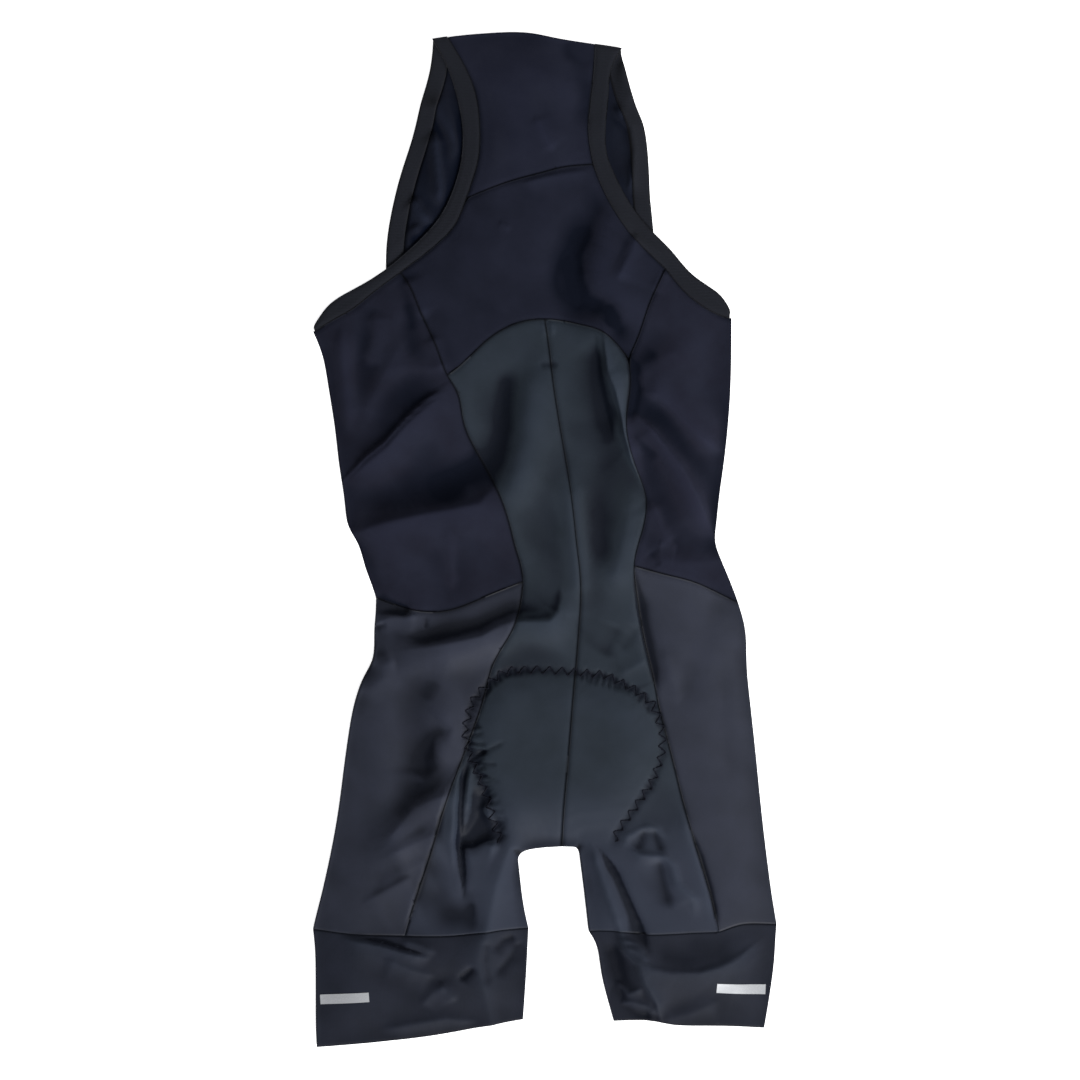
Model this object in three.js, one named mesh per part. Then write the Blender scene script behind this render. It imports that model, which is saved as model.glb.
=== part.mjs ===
// Cycling bib shorts laid flat on their front, back side up: millimetres, +Z up, +Y towards the neck.
// Two layers of cloth lie on each other. The front layer is flat on the floor, the back layer lies over
// it with its folds, and the panels that wrap the body turn round the outline from one to the other.
import * as THREE from 'three';

// Driving sizes
const clothThickness = 1.4;
const layerGap = 0.4;
const seamGap = 0.3;
const stackHeight = 2 * clothThickness + layerGap;
const foldRadius = stackHeight / 2;
const innerFoldRadius = foldRadius - clothThickness;
const foldSegments = 4;
const bindingRise = 0.7;
const bindingEnd = 2.2;
const frontBindingWidth = 16;
const shoulderBindingWidth = 13;
const sideReturn = 70;
const narrowReturn = 8;
const underSteps = [0.33, 0.67, 1];
const narrowTurn = foldRadius + narrowReturn;
const edgeSlope = 22;
const loft = 4.5;
const loftSlope = 45;
const padLift = 6;
const padSlope = 20;
const padInset = 8;
const padThickness = 3.6;
const padEdgeThickness = 0.4;
const padBevel = 14;
const foldEndReach = 0.12;
const foldEndEase = 4;

// Heights where the long lines meet the seams across
const waistOuter = { left: -54, right: -59 };
const waistInner = { left: -39, right: -24.6 };
const gripperOuter = { left: -363, right: -358.5 };
const gripperInner = { left: -368, right: -365 };
const crotchLevel = { left: -288, right: -286 };
const underarm = { left: 193, right: 206 };
const archEnd = { left: 152, right: 168 };
const frontSeamLevel = 190;
const frontCentreX = 9;

// Cells along each seam
const cells = {
  archHalf: 7, innerLeg: 5, princess: 7, yokeSide: 6, strap: 9, across: 8,
  sideLower: 12, legUpper: 16, legLower: 5, cuff: 6, front: 3, frontStrap: 3, pad: 8,
};

// One row for each section across the body: the x of every line that runs down it
const sectionColumns = ['y', 'outerLeft', 'longLeft', 'centre', 'longRight', 'outerRight'];
const sections = [
  [212, null, null, null, null, 174.4],
  [204, null, null, 0.5, null, 174.4],
  [195, -217, null, 2, null, 174.4],
  [174, -207.5, null, 5, 77, 174.2],
  [152, -203, -90.7, 7.3, 80, 173.8],
  [139, -201, -80, 9, 79.5, 173.4],
  [104, -195.5, -74.5, 14.6, 75, 170.9],
  [69, -191.5, -56, 20.7, 83.5, 167],
  [41, -187, -41, 25, 95, 163],
  [10, -183, -31, 28.5, 92, 159.7],
  [-2, -174, -29, 29.5, 87, 157.6],
  [-28, -166.5, -20.3, 33, 82.4, 168],
  [-54, -157, -21, 34, 86.5, 178.5],
  [-84, -159, -28.8, 32, 91, 187.4],
  [-112, -159.5, -47, 30, 97.5, 188.3],
  [-126, -168.5, -51, 28.6, 101, 189],
  [-154, -178, -58, 26, 106, 192],
  [-200, -185.5, -75, 22.5, 118, 197],
  [-250, -192, -93.5, 18, 130.5, 202],
  [-290, -199, -105, 16.3, 142.3, 206.6],
  [-335, -209, -120, null, 156, 212.5],
  [-363, -216, -128.5, null, 161.5, 217],
  [-372, -214.4, -131, null, 164, 215.5],
  [-393, -213.6, null, null, null, 214.4],
  [-430, -213.4, null, null, null, 209.3],
  [-455, -213.4, null, null, null, 205],
  [-473, -212.5, null, null, null, 202],
];

// Seams and edges that run across, from left to right, and the inner legs from the crotch down
const lines = {
  archLeft: [[-90.7, 152], [-75, 164], [-60, 180], [-42, 194], [-20, 203.5], [0.5, 205]],
  archRight: [[0.5, 205], [18, 203.5], [34.5, 199.5], [53.5, 194], [66, 183], [78, 168]],
  princessLeft: [[-90.7, 152], [-103, 185.5], [-114, 208], [-125, 236], [-134.4, 249]],
  princessRight: [[78, 168], [87, 187], [98, 220], [113, 252]],
  strapSeam: [[-73, 317.6], [-53.5, 325], [-31, 333], [-4, 340], [18, 346], [45.1, 349.2]],
  topEdge: [[-90.7, 468.5], [-69, 471], [-18, 473], [14.4, 467], [47, 462]],
  waistLeft: [[-157, -54], [-121, -66.5], [-91, -67], [-50, -51], [-20, -39]],
  waistRight: [[83, -24.6], [109, -32], [139, -39.5], [160, -49], [180, -59]],
  gripperOuterLeft: [[-216, -363], [-175, -367], [-130, -368]],
  gripperInnerLeft: [[-130, -368], [-90, -369], [-52, -364], [-15, -362]],
  gripperInnerRight: [[41, -365], [70, -363], [93.5, -368], [125, -366], [162, -365]],
  gripperOuterRight: [[162, -365], [182, -358], [216.5, -358.5]],
  crotchLeft: [[-25, -291.6], [-10.7, -288], [16.3, -286.4]],
  crotchRight: [[16.3, -286.4], [31.2, -287]],
  innerLegLeft: [[-25, -291.6], [-23.7, -307], [-19, -345], [-15, -362]],
  innerLegRight: [[31.2, -287], [34.3, -308], [37.7, -336], [41, -365]],
  innerCuffLeft: [[-15, -362], [-17, -403], [-20, -447]],
  innerCuffRight: [[41, -365], [48, -374], [53.5, -408], [64.5, -448.7]],
  hemLeft: [[-212.5, -473], [-185.5, -471], [-104, -461.7], [-42, -450.6], [-20, -447]],
  hemRight: [[64.5, -448.7], [98, -448], [122, -452], [178, -453.4], [205, -455]],
};

// Armhole bindings of the back: one row for each place along the edge, from the shoulder to the underarm
const armholeColumns = ['outerX', 'outerY', 'innerX', 'innerY'];
const armholes = {
  left: {
    strap: [
      [-104.6, 466.4, -90.7, 468.5], [-92.5, 446, -77, 446], [-82, 415, -65, 420],
      [-75.8, 381, -60, 387], [-77.5, 350, -61.5, 352], [-87, 319.5, -73, 317.6],
    ],
    yoke: [
      [-87, 319.5, -73, 317.6], [-98, 299, -82, 293.5], [-118, 277, -104, 271.5],
      [-141, 256.5, -134.4, 249],
    ],
    side: [
      [-141, 256.5, -134.4, 249], [-165, 240, -159.5, 230.2], [-183, 230.5, -180, 213.5],
      [-201, 219, -198, 204], [-216.5, 196.5, -215.6, 193],
    ],
  },
  right: {
    strap: [
      [72, 458, 47, 462], [62, 440, 46, 438], [59.5, 412, 42, 405],
      [56.5, 372, 40.5, 378], [59, 354, 45.1, 349.2],
    ],
    yoke: [
      [59, 354, 45.1, 349.2], [74, 322, 57.5, 319], [91.6, 296, 80.4, 282.3],
      [117.5, 270, 113, 252],
    ],
    side: [
      [117.5, 270, 113, 252], [136, 248, 130.7, 230.2], [150, 237.6, 147, 217],
      [164, 228, 162, 209], [174.4, 211.6, 174.4, 206],
    ],
  },
};

// Front straps: the end of the binding under the shoulder fold, and the outer and neck edges from there to
// the seam with the shorts
const frontStraps = {
  left: {
    shoulder: [[-104, 465.6], [-92.4, 467.3]],
    outer: [
      [-104.2, 457.5], [-107.1, 433.6], [-115.1, 408.7], [-122, 377.7], [-136, 334], [-146.6, 283],
      [-148, 250], [-144, 193],
    ],
    neck: [[-42, 462], [-50, 400], [-50, 330], [-36, 262], [-12, 224], [8.85, 214]],
  },
  right: {
    shoulder: [[71.4, 457.3], [57.5, 459.6]],
    outer: [
      [71.6, 451], [73.3, 446], [79.5, 421], [86.7, 399.4], [92.5, 388], [97.5, 343.6], [98.1, 321.9],
      [102, 283], [102, 206],
    ],
    neck: [[28, 453.6], [30, 400], [38, 330], [36, 262], [24, 226], [9.15, 214]],
  },
};

// The seat pad's outline, from its upper left corner
const padLines = {
  top: [[-60, -144], [-36, -122], [11, -122], [57, -126], [95, -146]],
  bottom: [[-40.5, -279], [64.6, -279]],
  left: [[-60, -144], [-74, -176], [-69.5, -201], [-55.5, -235], [-46, -262], [-40.5, -279]],
  right: [[95, -146], [111, -177], [106.5, -213], [85, -248], [64.6, -279]],
};

// Largest folds of the back layer, one row each: its height, how far its slopes reach to the left and to
// the right of the line's own direction, and the line of its crest or trough
const folds = {
  sideLap: [5, 22, 6, [[-88, 142], [-113, 122], [-148, 88], [-184, 58]]],
  sideRidge: [7, 40, 15, [[-44, 46], [-64, 29], [-112, 21], [-149, 13], [-178, 3]]],
  sideValley: [-3, 13, 13, [[-54, 76], [-90, 66], [-135, 48], [-172, 38]]],
  sideBand: [3, 9, 9, [[-190, 190], [-187, 140], [-183, 100]]],
  sideHollow: [-3, 12, 12, [[-167, 205], [-165, 150], [-150, 125]]],
  waistTuck: [
    6, 8, 18, [[-146, -108], [-108, -103], [-80, -98], [-57, -93], [-29, -79], [3, -79], [17, -62]],
  ],
  centreTrough: [-3.4, 12, 16, [[-44, 150], [-46, 115], [-54, 80]]],
  centreRidge: [5, 26, 16, [[-10, 134], [-12, 90], [-26, 50]]],
  centreStreak: [3.4, 14, 12, [[24, 40], [28, 0], [32, -40]]],
  rightPleat: [5.5, 8, 15, [[57, 190], [60, 155], [67, 137], [72, 115], [76, 96], [83, 72]]],
  lowerRidge: [4.4, 14, 16, [[84, 9], [63, -47]]],
  yokeTrough: [-4, 18, 14, [[50, 311], [26, 283], [14, 258], [14, 236], [22, 215]]],
  yokeRidge: [6, 24, 16, [[70, 312], [52, 288], [50, 262], [62, 232], [72, 208]]],
  strapSwell: [2.8, 26, 22, [[-30, 440], [-24, 390], [-14, 352]]],
  rightUpperRidge: [4.6, 18, 9, [[84, 140], [106, 135], [126, 114], [146, 96], [164, 84]]],
  rightUpperTrough: [-3, 9, 9, [[98, 124], [117, 104], [134, 80], [147, 58]]],
  rightCrispRidge: [5.5, 17, 14, [[92, 107], [111, 88], [125, 69], [140, 40], [149, 21], [158, 2]]],
  legTrough: [-3.6, 13, 13, [[-112, -128], [-126, -165], [-130, -210], [-122, -240]]],
  legCrest: [5, 9, 16, [[-82, -150], [-90, -180], [-97, -215], [-103, -240]]],
  legDiagonal: [4.2, 14, 8, [[-95, -241], [-118, -249], [-134, -267], [-150, -285]]],
  legDiagonalLow: [3.6, 14, 8, [[-100, -275], [-125, -284], [-146, -294]]],
  inseamPucker: [4, 6, 9, [[-80, -225], [-84, -255], [-83, -290], [-79, -332]]],
  inseamRidge: [4, 10, 12, [[-34, -294], [-44, -320], [-53, -361], [-58, -390]]],
  padHollow: [-4.5, 10, 9, [[-62, -250], [-58, -270], [-66, -284]]],
  kneeHollow: [-3, 12, 12, [[-92, -345], [-70, -350]]],
  rightKneeRidge: [3.6, 10, 8, [[47, -291], [57, -326], [70, -361]]],
  rightZigzag: [3.4, 9, 8, [[80, -290], [112, -293], [121, -305], [126, -320], [141, -340]]],
  cuffCrease: [3.6, 7, 9, [[-178, -377], [-130, -387], [-92, -394]]],
  cuffHemFold: [2.8, 8, 8, [[-148, -450], [-96, -444], [-72, -444]]],
  cuffSmile: [4, 8, 12, [[86, -390], [117, -400], [144, -400], [179, -388], [196, -376]]],
  cuffTurn: [4, 12, 7, [[71, -363], [74, -381], [87, -393], [92, -410], [104, -430]]],
};

// Colour and roughness of each cloth
const finishes = {
  strap: [0x212330, 0.85],
  side: [0x22252f, 0.85],
  yoke: [0x1e212d, 0.85],
  centre: [0x232a33, 0.6],
  leg: [0x2f3340, 0.65],
  cuff: [0x252934, 0.7],
  binding: [0x222325, 0.9],
  inside: [0x161b26, 0.85],
  pad: [0x2c303c, 0.95],
};

const lerp = THREE.MathUtils.lerp;
const smooth = (t) => THREE.MathUtils.smoothstep(t, 0, 1);

// The x of one column of the section table at a height, on a smooth line through its rows
function lineX(column, y) {
  const at = sectionColumns.indexOf(column);
  const rows = sections.filter((row) => row[at] !== null);
  const reached = rows.filter((row) => row[0] >= y).length;
  const last = THREE.MathUtils.clamp(reached, 1, rows.length - 1);
  const slope = (i) => {
    const before = rows[Math.max(i - 1, 0)];
    const after = rows[Math.min(i + 1, rows.length - 1)];
    return (after[at] - before[at]) / (after[0] - before[0]);
  };
  const [high, low] = [rows[last - 1], rows[last]];
  const span = low[0] - high[0];
  const t = (y - high[0]) / span;
  const ease = t * t * (3 - 2 * t);
  const leaving = slope(last - 1) * span * t * (1 - t) ** 2;
  const arriving = slope(last) * span * t * t * (t - 1);
  return lerp(high[at], low[at], ease) + leaving + arriving;
}

function lineDown(column, yTop, yBottom, count) {
  return Array.from({ length: count + 1 }, (_, i) => {
    const y = lerp(yTop, yBottom, i / count);
    return [lineX(column, y), y];
  });
}

// Points at equal steps along a smooth line
function spaced(points, count) {
  const places = points.map(([x, y]) => new THREE.Vector3(x, y, 0));
  const curve = new THREE.CatmullRomCurve3(places, false, 'centripetal');
  return curve.getSpacedPoints(count).map((p) => [p.x, p.y]);
}

const joined = (...parts) => parts.flatMap((part, i) => (i ? part.slice(1) : part));
const reversed = (points) => [...points].reverse();

// Distance from a point to a line of points, the side it is on, and how far along it is
function nearest(path, x, y) {
  let best = { distance: Infinity, side: 1, along: 0 };
  for (let i = 0; i + 1 < path.length; i += 1) {
    const [ax, ay] = path[i];
    const [dx, dy] = [path[i + 1][0] - ax, path[i + 1][1] - ay];
    const t = THREE.MathUtils.clamp(((x - ax) * dx + (y - ay) * dy) / (dx * dx + dy * dy), 0, 1);
    const distance = Math.hypot(x - ax - t * dx, y - ay - t * dy);
    if (distance < best.distance) {
      const side = Math.sign(dx * (y - ay) - dy * (x - ax)) || 1;
      best = { distance, side, along: (i + t) / (path.length - 1) };
    }
  }
  return best;
}

// Seam and edge lines shared by the panels
const armholeLine = (side, stretch, edge, count) => {
  const at = armholeColumns.indexOf(`${edge}X`);
  return spaced(armholes[side][stretch].map((row) => [row[at], row[at + 1]]), count);
};
const bindingCells = { strap: cells.strap, yoke: cells.yokeSide, side: cells.across };
const seamLines = {};
for (const side of ['left', 'right']) {
  const end = side === 'left' ? 'Left' : 'Right';
  const across = (points, count) => spaced(side === 'left' ? points : reversed(points), count);
  seamLines[side] = {
    outerSide: lineDown(`outer${end}`, underarm[side], waistOuter[side], cells.sideLower + cells.princess),
    outerUpperLeg: lineDown(`outer${end}`, waistOuter[side], crotchLevel[side], cells.legUpper),
    outerLowerLeg: lineDown(`outer${end}`, crotchLevel[side], gripperOuter[side], cells.legLower),
    longSide: lineDown(`long${end}`, archEnd[side], waistInner[side], cells.sideLower),
    longUpperLeg: lineDown(`long${end}`, waistInner[side], crotchLevel[side], cells.legUpper),
    longLowerLeg: lineDown(`long${end}`, crotchLevel[side], gripperInner[side], cells.legLower),
    centre: lineDown('centre', lines.archLeft.at(-1)[1], crotchLevel.right, cells.sideLower + cells.legUpper),
    arch: across(lines[`arch${end}`], cells.archHalf),
    princess: reversed(spaced(lines[`princess${end}`], cells.princess)),
    waist: across(lines[`waist${end}`], cells.across),
    gripperOuter: across(lines[`gripperOuter${end}`], cells.across),
    gripperInner: across(lines[`gripperInner${end}`], cells.innerLeg),
    crotch: across(lines[`crotch${end}`], cells.archHalf - cells.innerLeg),
    innerLeg: spaced(lines[`innerLeg${end}`], cells.legLower),
    innerCuff: spaced(lines[`innerCuff${end}`], cells.cuff),
    hem: across(lines[`hem${end}`], cells.across + cells.innerLeg),
  };
}
const strapSeam = spaced(lines.strapSeam, 2 * cells.archHalf);
const topEdge = spaced(lines.topEdge, 2 * cells.archHalf);

// The cuff's outer edge runs from the gripper seam to the end of the hem
for (const side of ['left', 'right']) {
  const seam = seamLines[side];
  const column = side === 'left' ? 'outerLeft' : 'outerRight';
  seam.outerCuff = lineDown(column, gripperOuter[side], seam.hem[0][1], cells.cuff);
  seam.outerCuff[0] = seam.gripperOuter[0];
  seam.hem[0] = seam.outerCuff.at(-1);
  seam.outerLowerLeg[cells.legLower] = seam.gripperOuter[0];
  seam.longLowerLeg[cells.legLower] = seam.gripperInner[0];
  seam.gripperOuter[cells.across] = seam.gripperInner[0];
  seam.outerSide[0] = armholeLine(side, 'side', 'inner', cells.across).at(-1);
  seam.waist[0] = seam.outerSide.at(-1);
  seam.waist[cells.across] = seam.longSide.at(-1);
  seam.centre[seam.centre.length - 1] = seam.crotch.at(-1);
}

// Every edge where the back layer comes down to the floor
const outline = ['left', 'right'].flatMap((side) => {
  const seam = seamLines[side];
  const armhole = Object.entries(bindingCells).map(
    ([part, count]) => armholeLine(side, part, 'outer', count));
  return [
    joined(seam.outerSide, seam.outerUpperLeg, seam.outerLowerLeg, seam.outerCuff),
    seam.hem,
    joined(reversed(seam.crotch), seam.innerLeg, seam.innerCuff),
    joined(...armhole),
  ];
}).concat([topEdge]);

const padEdge = {};
for (const [name, points] of Object.entries(padLines)) padEdge[name] = spaced(points, cells.pad);
const padPath = joined(padEdge.top, padEdge.right, reversed(padEdge.bottom), reversed(padEdge.left));
const padShape = padPath.map(([x, y]) => new THREE.Vector2(x, y));

function insidePad(x, y) {
  let inside = false;
  for (let i = 0, j = padShape.length - 1; i < padShape.length; j = i, i += 1) {
    const [a, b] = [padShape[i], padShape[j]];
    if ((a.y > y) !== (b.y > y) && x < ((b.x - a.x) * (y - a.y)) / (b.y - a.y) + a.x) inside = !inside;
  }
  return inside;
}

function foldRise(fold, x, y) {
  const [height, leftReach, rightReach, path] = fold;
  const { distance, side, along } = nearest(path, x, y);
  const reach = side > 0 ? leftReach : rightReach;
  const toEnd = Math.min(along, 1 - along) + foldEndReach;
  const ends = smooth(Math.min(1, toEnd * foldEndEase));
  return height * ends * Math.exp(-((distance / reach) ** 2));
}

// Height of the back layer's outer face
function backHeight(x, y) {
  const toEdge = Math.min(...outline.map((edge) => nearest(edge, x, y).distance));
  const pad = insidePad(x, y) ? padLift * smooth(nearest(padPath, x, y).distance / padSlope) : 0;
  const rise = Object.values(folds).reduce((sum, fold) => sum + foldRise(fold, x, y), 0);
  const soft = loft * smooth(toEdge / loftSlope) + pad + rise;
  return stackHeight + smooth(toEdge / edgeSlope) * Math.max(soft, 0);
}

// A patch of cloth between four lines that share their corners, as rows from the top down
function patch({ top, bottom, left, right }) {
  const [columns, rows] = [top.length - 1, left.length - 1];
  return left.map((_, r) => top.map((__, c) => {
    const [u, v] = [c / columns, r / rows];
    return [0, 1].map((k) => {
      const ruled = lerp(top[c][k], bottom[c][k], v) + lerp(left[r][k], right[r][k], u);
      const corners = lerp(lerp(top[0][k], top[columns][k], u), lerp(bottom[0][k], bottom[columns][k], u), v);
      return ruled - corners;
    });
  }));
}

// Cloth as points with an outer and an inner face, joined by four-sided cells
class Cloth {
  constructor(rows, layer) {
    this.outer = [];
    this.inner = [];
    this.quads = [];
    this.grid = rows.map((row) => row.map((place) => (place ? this.add(...layer(...place)) : null)));
    const facesDown = layer === frontLayer;
    for (let r = 0; r + 1 < rows.length; r += 1) {
      for (let c = 0; c + 1 < rows[r].length; c += 1) {
        const quad = [this.grid[r][c], this.grid[r + 1][c], this.grid[r + 1][c + 1], this.grid[r][c + 1]];
        if (quad.every((i) => i !== null)) this.quads.push(facesDown ? quad.reverse() : quad);
      }
    }
  }

  add(outer, inner) {
    this.outer.push(new THREE.Vector3(...outer));
    this.inner.push(new THREE.Vector3(...inner));
    return this.outer.length - 1;
  }

  // Turns the cloth round an edge and lays it back under itself through the places given for each point
  foldUnder(edge, returns) {
    const used = new Set(this.quads.flatMap((q) => q.map((a, i) => `${a}>${q[(i + 1) % 4]}`)));
    const strips = edge.map((index, i) => {
      const rim = this.outer[index];
      const back = returns[i];
      const inward = new THREE.Vector2(back[0][0] - rim.x, back[0][1] - rim.y).normalize();
      const turn = Array.from({ length: foldSegments }, (_, step) => {
        const angle = Math.PI / 2 - (Math.PI * (step + 1)) / foldSegments;
        const at = (radius) => [
          rim.x - inward.x * radius * Math.cos(angle),
          rim.y - inward.y * radius * Math.cos(angle),
          foldRadius + radius * Math.sin(angle),
        ];
        return this.add(at(foldRadius), at(innerFoldRadius));
      });
      const under = back.map(([x, y]) => this.add([x, y, 0], [x, y, clothThickness]));
      return [index, ...turn, ...under];
    });
    for (let i = 0; i + 1 < strips.length; i += 1) {
      const forward = used.has(`${edge[i]}>${edge[i + 1]}`);
      for (let k = 0; k + 1 < strips[i].length; k += 1) {
        const quad = [strips[i][k], strips[i + 1][k], strips[i + 1][k + 1], strips[i][k + 1]];
        this.quads.push(forward ? quad.reverse() : quad);
      }
    }
    return this;
  }

  // A closed wall: both faces, and a rim along every edge that only one cell has
  geometry() {
    const count = this.outer.length;
    const faces = [];
    const directed = new Map();
    for (const quad of this.quads) {
      faces.push([quad[0], quad[1], quad[2]], [quad[0], quad[2], quad[3]]);
      quad.forEach((a, i) => directed.set(`${a}>${quad[(i + 1) % 4]}`, [a, quad[(i + 1) % 4]]));
    }
    const walls = faces.flatMap(([a, b, c]) => [[a, b, c], [count + a, count + c, count + b]]);
    for (const [a, b] of directed.values()) {
      if (!directed.has(`${b}>${a}`)) walls.push([b, a, count + a], [b, count + a, count + b]);
    }
    const geometry = new THREE.BufferGeometry();
    geometry.setAttribute('position', new THREE.Float32BufferAttribute(
      [...this.outer, ...this.inner].flatMap((p) => [p.x, p.y, p.z]), 3));
    geometry.setIndex(walls.flat());
    geometry.computeVertexNormals();
    return geometry;
  }
}

const backLayer = (x, y) => {
  const z = backHeight(x, y);
  return [[x, y, z], [x, y, z - clothThickness]];
};
const bindingLayer = (x, y) => {
  const z = backHeight(x, y);
  return [[x, y, z + bindingRise], [x, y, z - clothThickness]];
};
const frontLayer = (x, y) => [[x, y, 0], [x, y, clothThickness]];

// Draws the named sides of a patch in, by half a seam or by the radius of a fold
function drawnIn(rows, insets) {
  const original = rows.map((row) => [...row]);
  const isThere = (r, c) => original[r]?.[c] != null;
  const amount = (r, c, dr, dc, side) => (isThere(r + dr, c + dc) ? 0 : insets(r, c, side));
  return original.map((row, r) => row.map((place, c) => {
    if (!place) return null;
    const moves = [
      [-1, 0, 'top'], [1, 0, 'bottom'], [0, -1, 'left'], [0, 1, 'right'],
    ].map(([dr, dc, side]) => [dr, dc, amount(r, c, dr, dc, side)]);
    const [x, y] = place;
    const shift = new THREE.Vector2();
    for (const [dr, dc, inset] of moves) {
      if (!inset || !isThere(r - dr, c - dc)) continue;
      const [nx, ny] = original[r - dr][c - dc];
      shift.add(new THREE.Vector2(nx - x, ny - y).setLength(inset));
    }
    for (const [dr, dc] of [[1, 1], [1, -1]]) {
      if (!isThere(r + dr, c + dc) && isThere(r + dr, c) && isThere(r, c + dc) && isThere(r - dr, c - dc)) {
        const reach = insets(r, c, 'corner') * Math.SQRT2;
        shift.add(new THREE.Vector2(-dc, dr).setLength(reach));
      }
    }
    return [x + shift.x, y + shift.y];
  }));
}

const halfSeam = seamGap / 2;
const seamsAllRound = () => halfSeam;
const column = (cloth, index) => cloth.grid.map((row) => row.at(index)).filter((i) => i !== null);

// The y of a line of stations at an x, on the straight stretch between two of them
function onStations(stations, x) {
  const direction = Math.sign(stations.at(-1)[0] - stations[0][0]);
  const found = stations.findIndex((place) => (place[0] - x) * direction >= 0);
  const i = THREE.MathUtils.clamp(found, 1, stations.length - 1);
  const [[ax, ay], [bx, by]] = [stations[i - 1], stations[i]];
  return lerp(ay, by, (x - ax) / (bx - ax));
}

// The gripper seam on the underside: straight between the edges of the pieces that meet it there
function gripperY(side, x) {
  const seam = seamLines[side];
  const above = joined(seam.gripperOuter, seam.gripperInner);
  const [outer, inner] = [above[0][0], above.at(-1)[0]];
  const from = outer + towardsCentre(side) * (foldRadius + sideReturn);
  const to = inner - towardsCentre(side) * narrowTurn;
  const between = Array.from({ length: cells.front + 1 }, (_, i) => lerp(from, to, i / cells.front));
  return onStations([outer, ...between, inner].map((place) => [place, onStations(above, place)]), x);
}

// Places on the underside, level with an outer edge of the body and a given way in from it
function underSide(side, edge, endsAtGripper) {
  const inward = towardsCentre(side);
  return edge.map(([edgeX, edgeY], r) => underSteps.map((share) => {
    const depth = foldRadius + sideReturn * share - (share === 1 ? halfSeam : 0);
    const x = edgeX + inward * depth;
    if (r === 0) return [x, edgeY - halfSeam];
    if (r < edge.length - 1) return [x, edgeY];
    return [x, (endsAtGripper ? gripperY(side, x) : edgeY) + halfSeam];
  }));
}

// Settles the points of an edge at the flat height that its fold starts from
function flatten(cloth, edge) {
  for (const index of edge) {
    cloth.outer[index].z = stackHeight;
    cloth.inner[index].z = stackHeight - clothThickness;
  }
  return edge;
}

const mirrorRows = (rows, side) => (side === 'left' ? rows : rows.map((row) => [...row].reverse()));
const outerColumn = (side) => (side === 'left' ? 0 : -1);
const towardsCentre = (side) => (side === 'left' ? 1 : -1);

// A panel whose outer edge turns under the body
function wrappedPanel(side, rows, outerEdge, endsAtGripper) {
  const placed = drawnIn(mirrorRows(rows, side), (r, c, edge) => (edge === side ? foldRadius : halfSeam));
  const cloth = new Cloth(placed, backLayer);
  const edge = flatten(cloth, column(cloth, outerColumn(side)));
  return cloth.foldUnder(edge, underSide(side, outerEdge, endsAtGripper));
}

function sidePanel(side) {
  const seam = seamLines[side];
  return wrappedPanel(side, patch({
    top: reversed(armholeLine(side, 'side', 'inner', cells.across)),
    bottom: seam.waist,
    left: seam.outerSide,
    right: joined(seam.princess, seam.longSide),
  }), seam.outerSide, false);
}

function legPanel(side) {
  const seam = seamLines[side];
  const outerEdge = joined(seam.outerUpperLeg, seam.outerLowerLeg);
  return wrappedPanel(side, patch({
    top: seam.waist,
    bottom: seam.gripperOuter,
    left: outerEdge,
    right: joined(seam.longUpperLeg, seam.longLowerLeg),
  }), outerEdge, true);
}

// Half of the centre back with its inner leg: wide to the crotch, then only as wide as the leg
function centrePanel(side) {
  const seam = seamLines[side];
  const crotchRow = joined(
    spaced([seam.longUpperLeg.at(-1), seam.crotch[0]], cells.innerLeg),
    seam.crotch,
  );
  const upper = patch({
    top: seam.arch,
    bottom: crotchRow,
    left: joined(seam.longSide, seam.longUpperLeg),
    right: seam.centre,
  });
  const lower = patch({
    top: crotchRow.slice(0, cells.innerLeg + 1),
    bottom: seam.gripperInner,
    left: seam.longLowerLeg,
    right: seam.innerLeg,
  });
  const blank = Array(cells.archHalf - cells.innerLeg).fill(null);
  const rows = mirrorRows([...upper, ...lower.slice(1).map((row) => [...row, ...blank])], side);
  const turned = upper.length - 1;
  const inner = side === 'left' ? 'right' : 'left';
  const placed = drawnIn(rows, (r, c, edge) => {
    const onCrotch = r === turned && edge === 'bottom';
    const onInnerLeg = r > turned && edge === inner;
    return onCrotch || onInnerLeg || edge === 'corner' ? foldRadius : halfSeam;
  });
  const cloth = new Cloth(placed, backLayer);
  const grid = side === 'left' ? cloth.grid : cloth.grid.map((row) => [...row].reverse());
  const crotchEdge = reversed(grid[turned].slice(cells.innerLeg));
  const legEdge = grid.slice(turned + 1).map((row) => row[cells.innerLeg]);
  const edge = flatten(cloth, [...crotchEdge, ...legEdge]);
  const crotchPlaces = reversed(seam.crotch).map(([x, y]) => [x, y + narrowTurn]);
  crotchPlaces[0][0] -= towardsCentre(side) * halfSeam;
  const legPlaces = seam.innerLeg.map(([x, y]) => [x - towardsCentre(side) * narrowTurn, y]);
  legPlaces[0][1] += narrowTurn;
  legPlaces.at(-1)[1] = gripperY(side, legPlaces.at(-1)[0]) + halfSeam;
  const places = [...crotchPlaces.slice(0, -1), ...legPlaces];
  return cloth.foldUnder(edge, places.map((place) => [place]));
}

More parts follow.
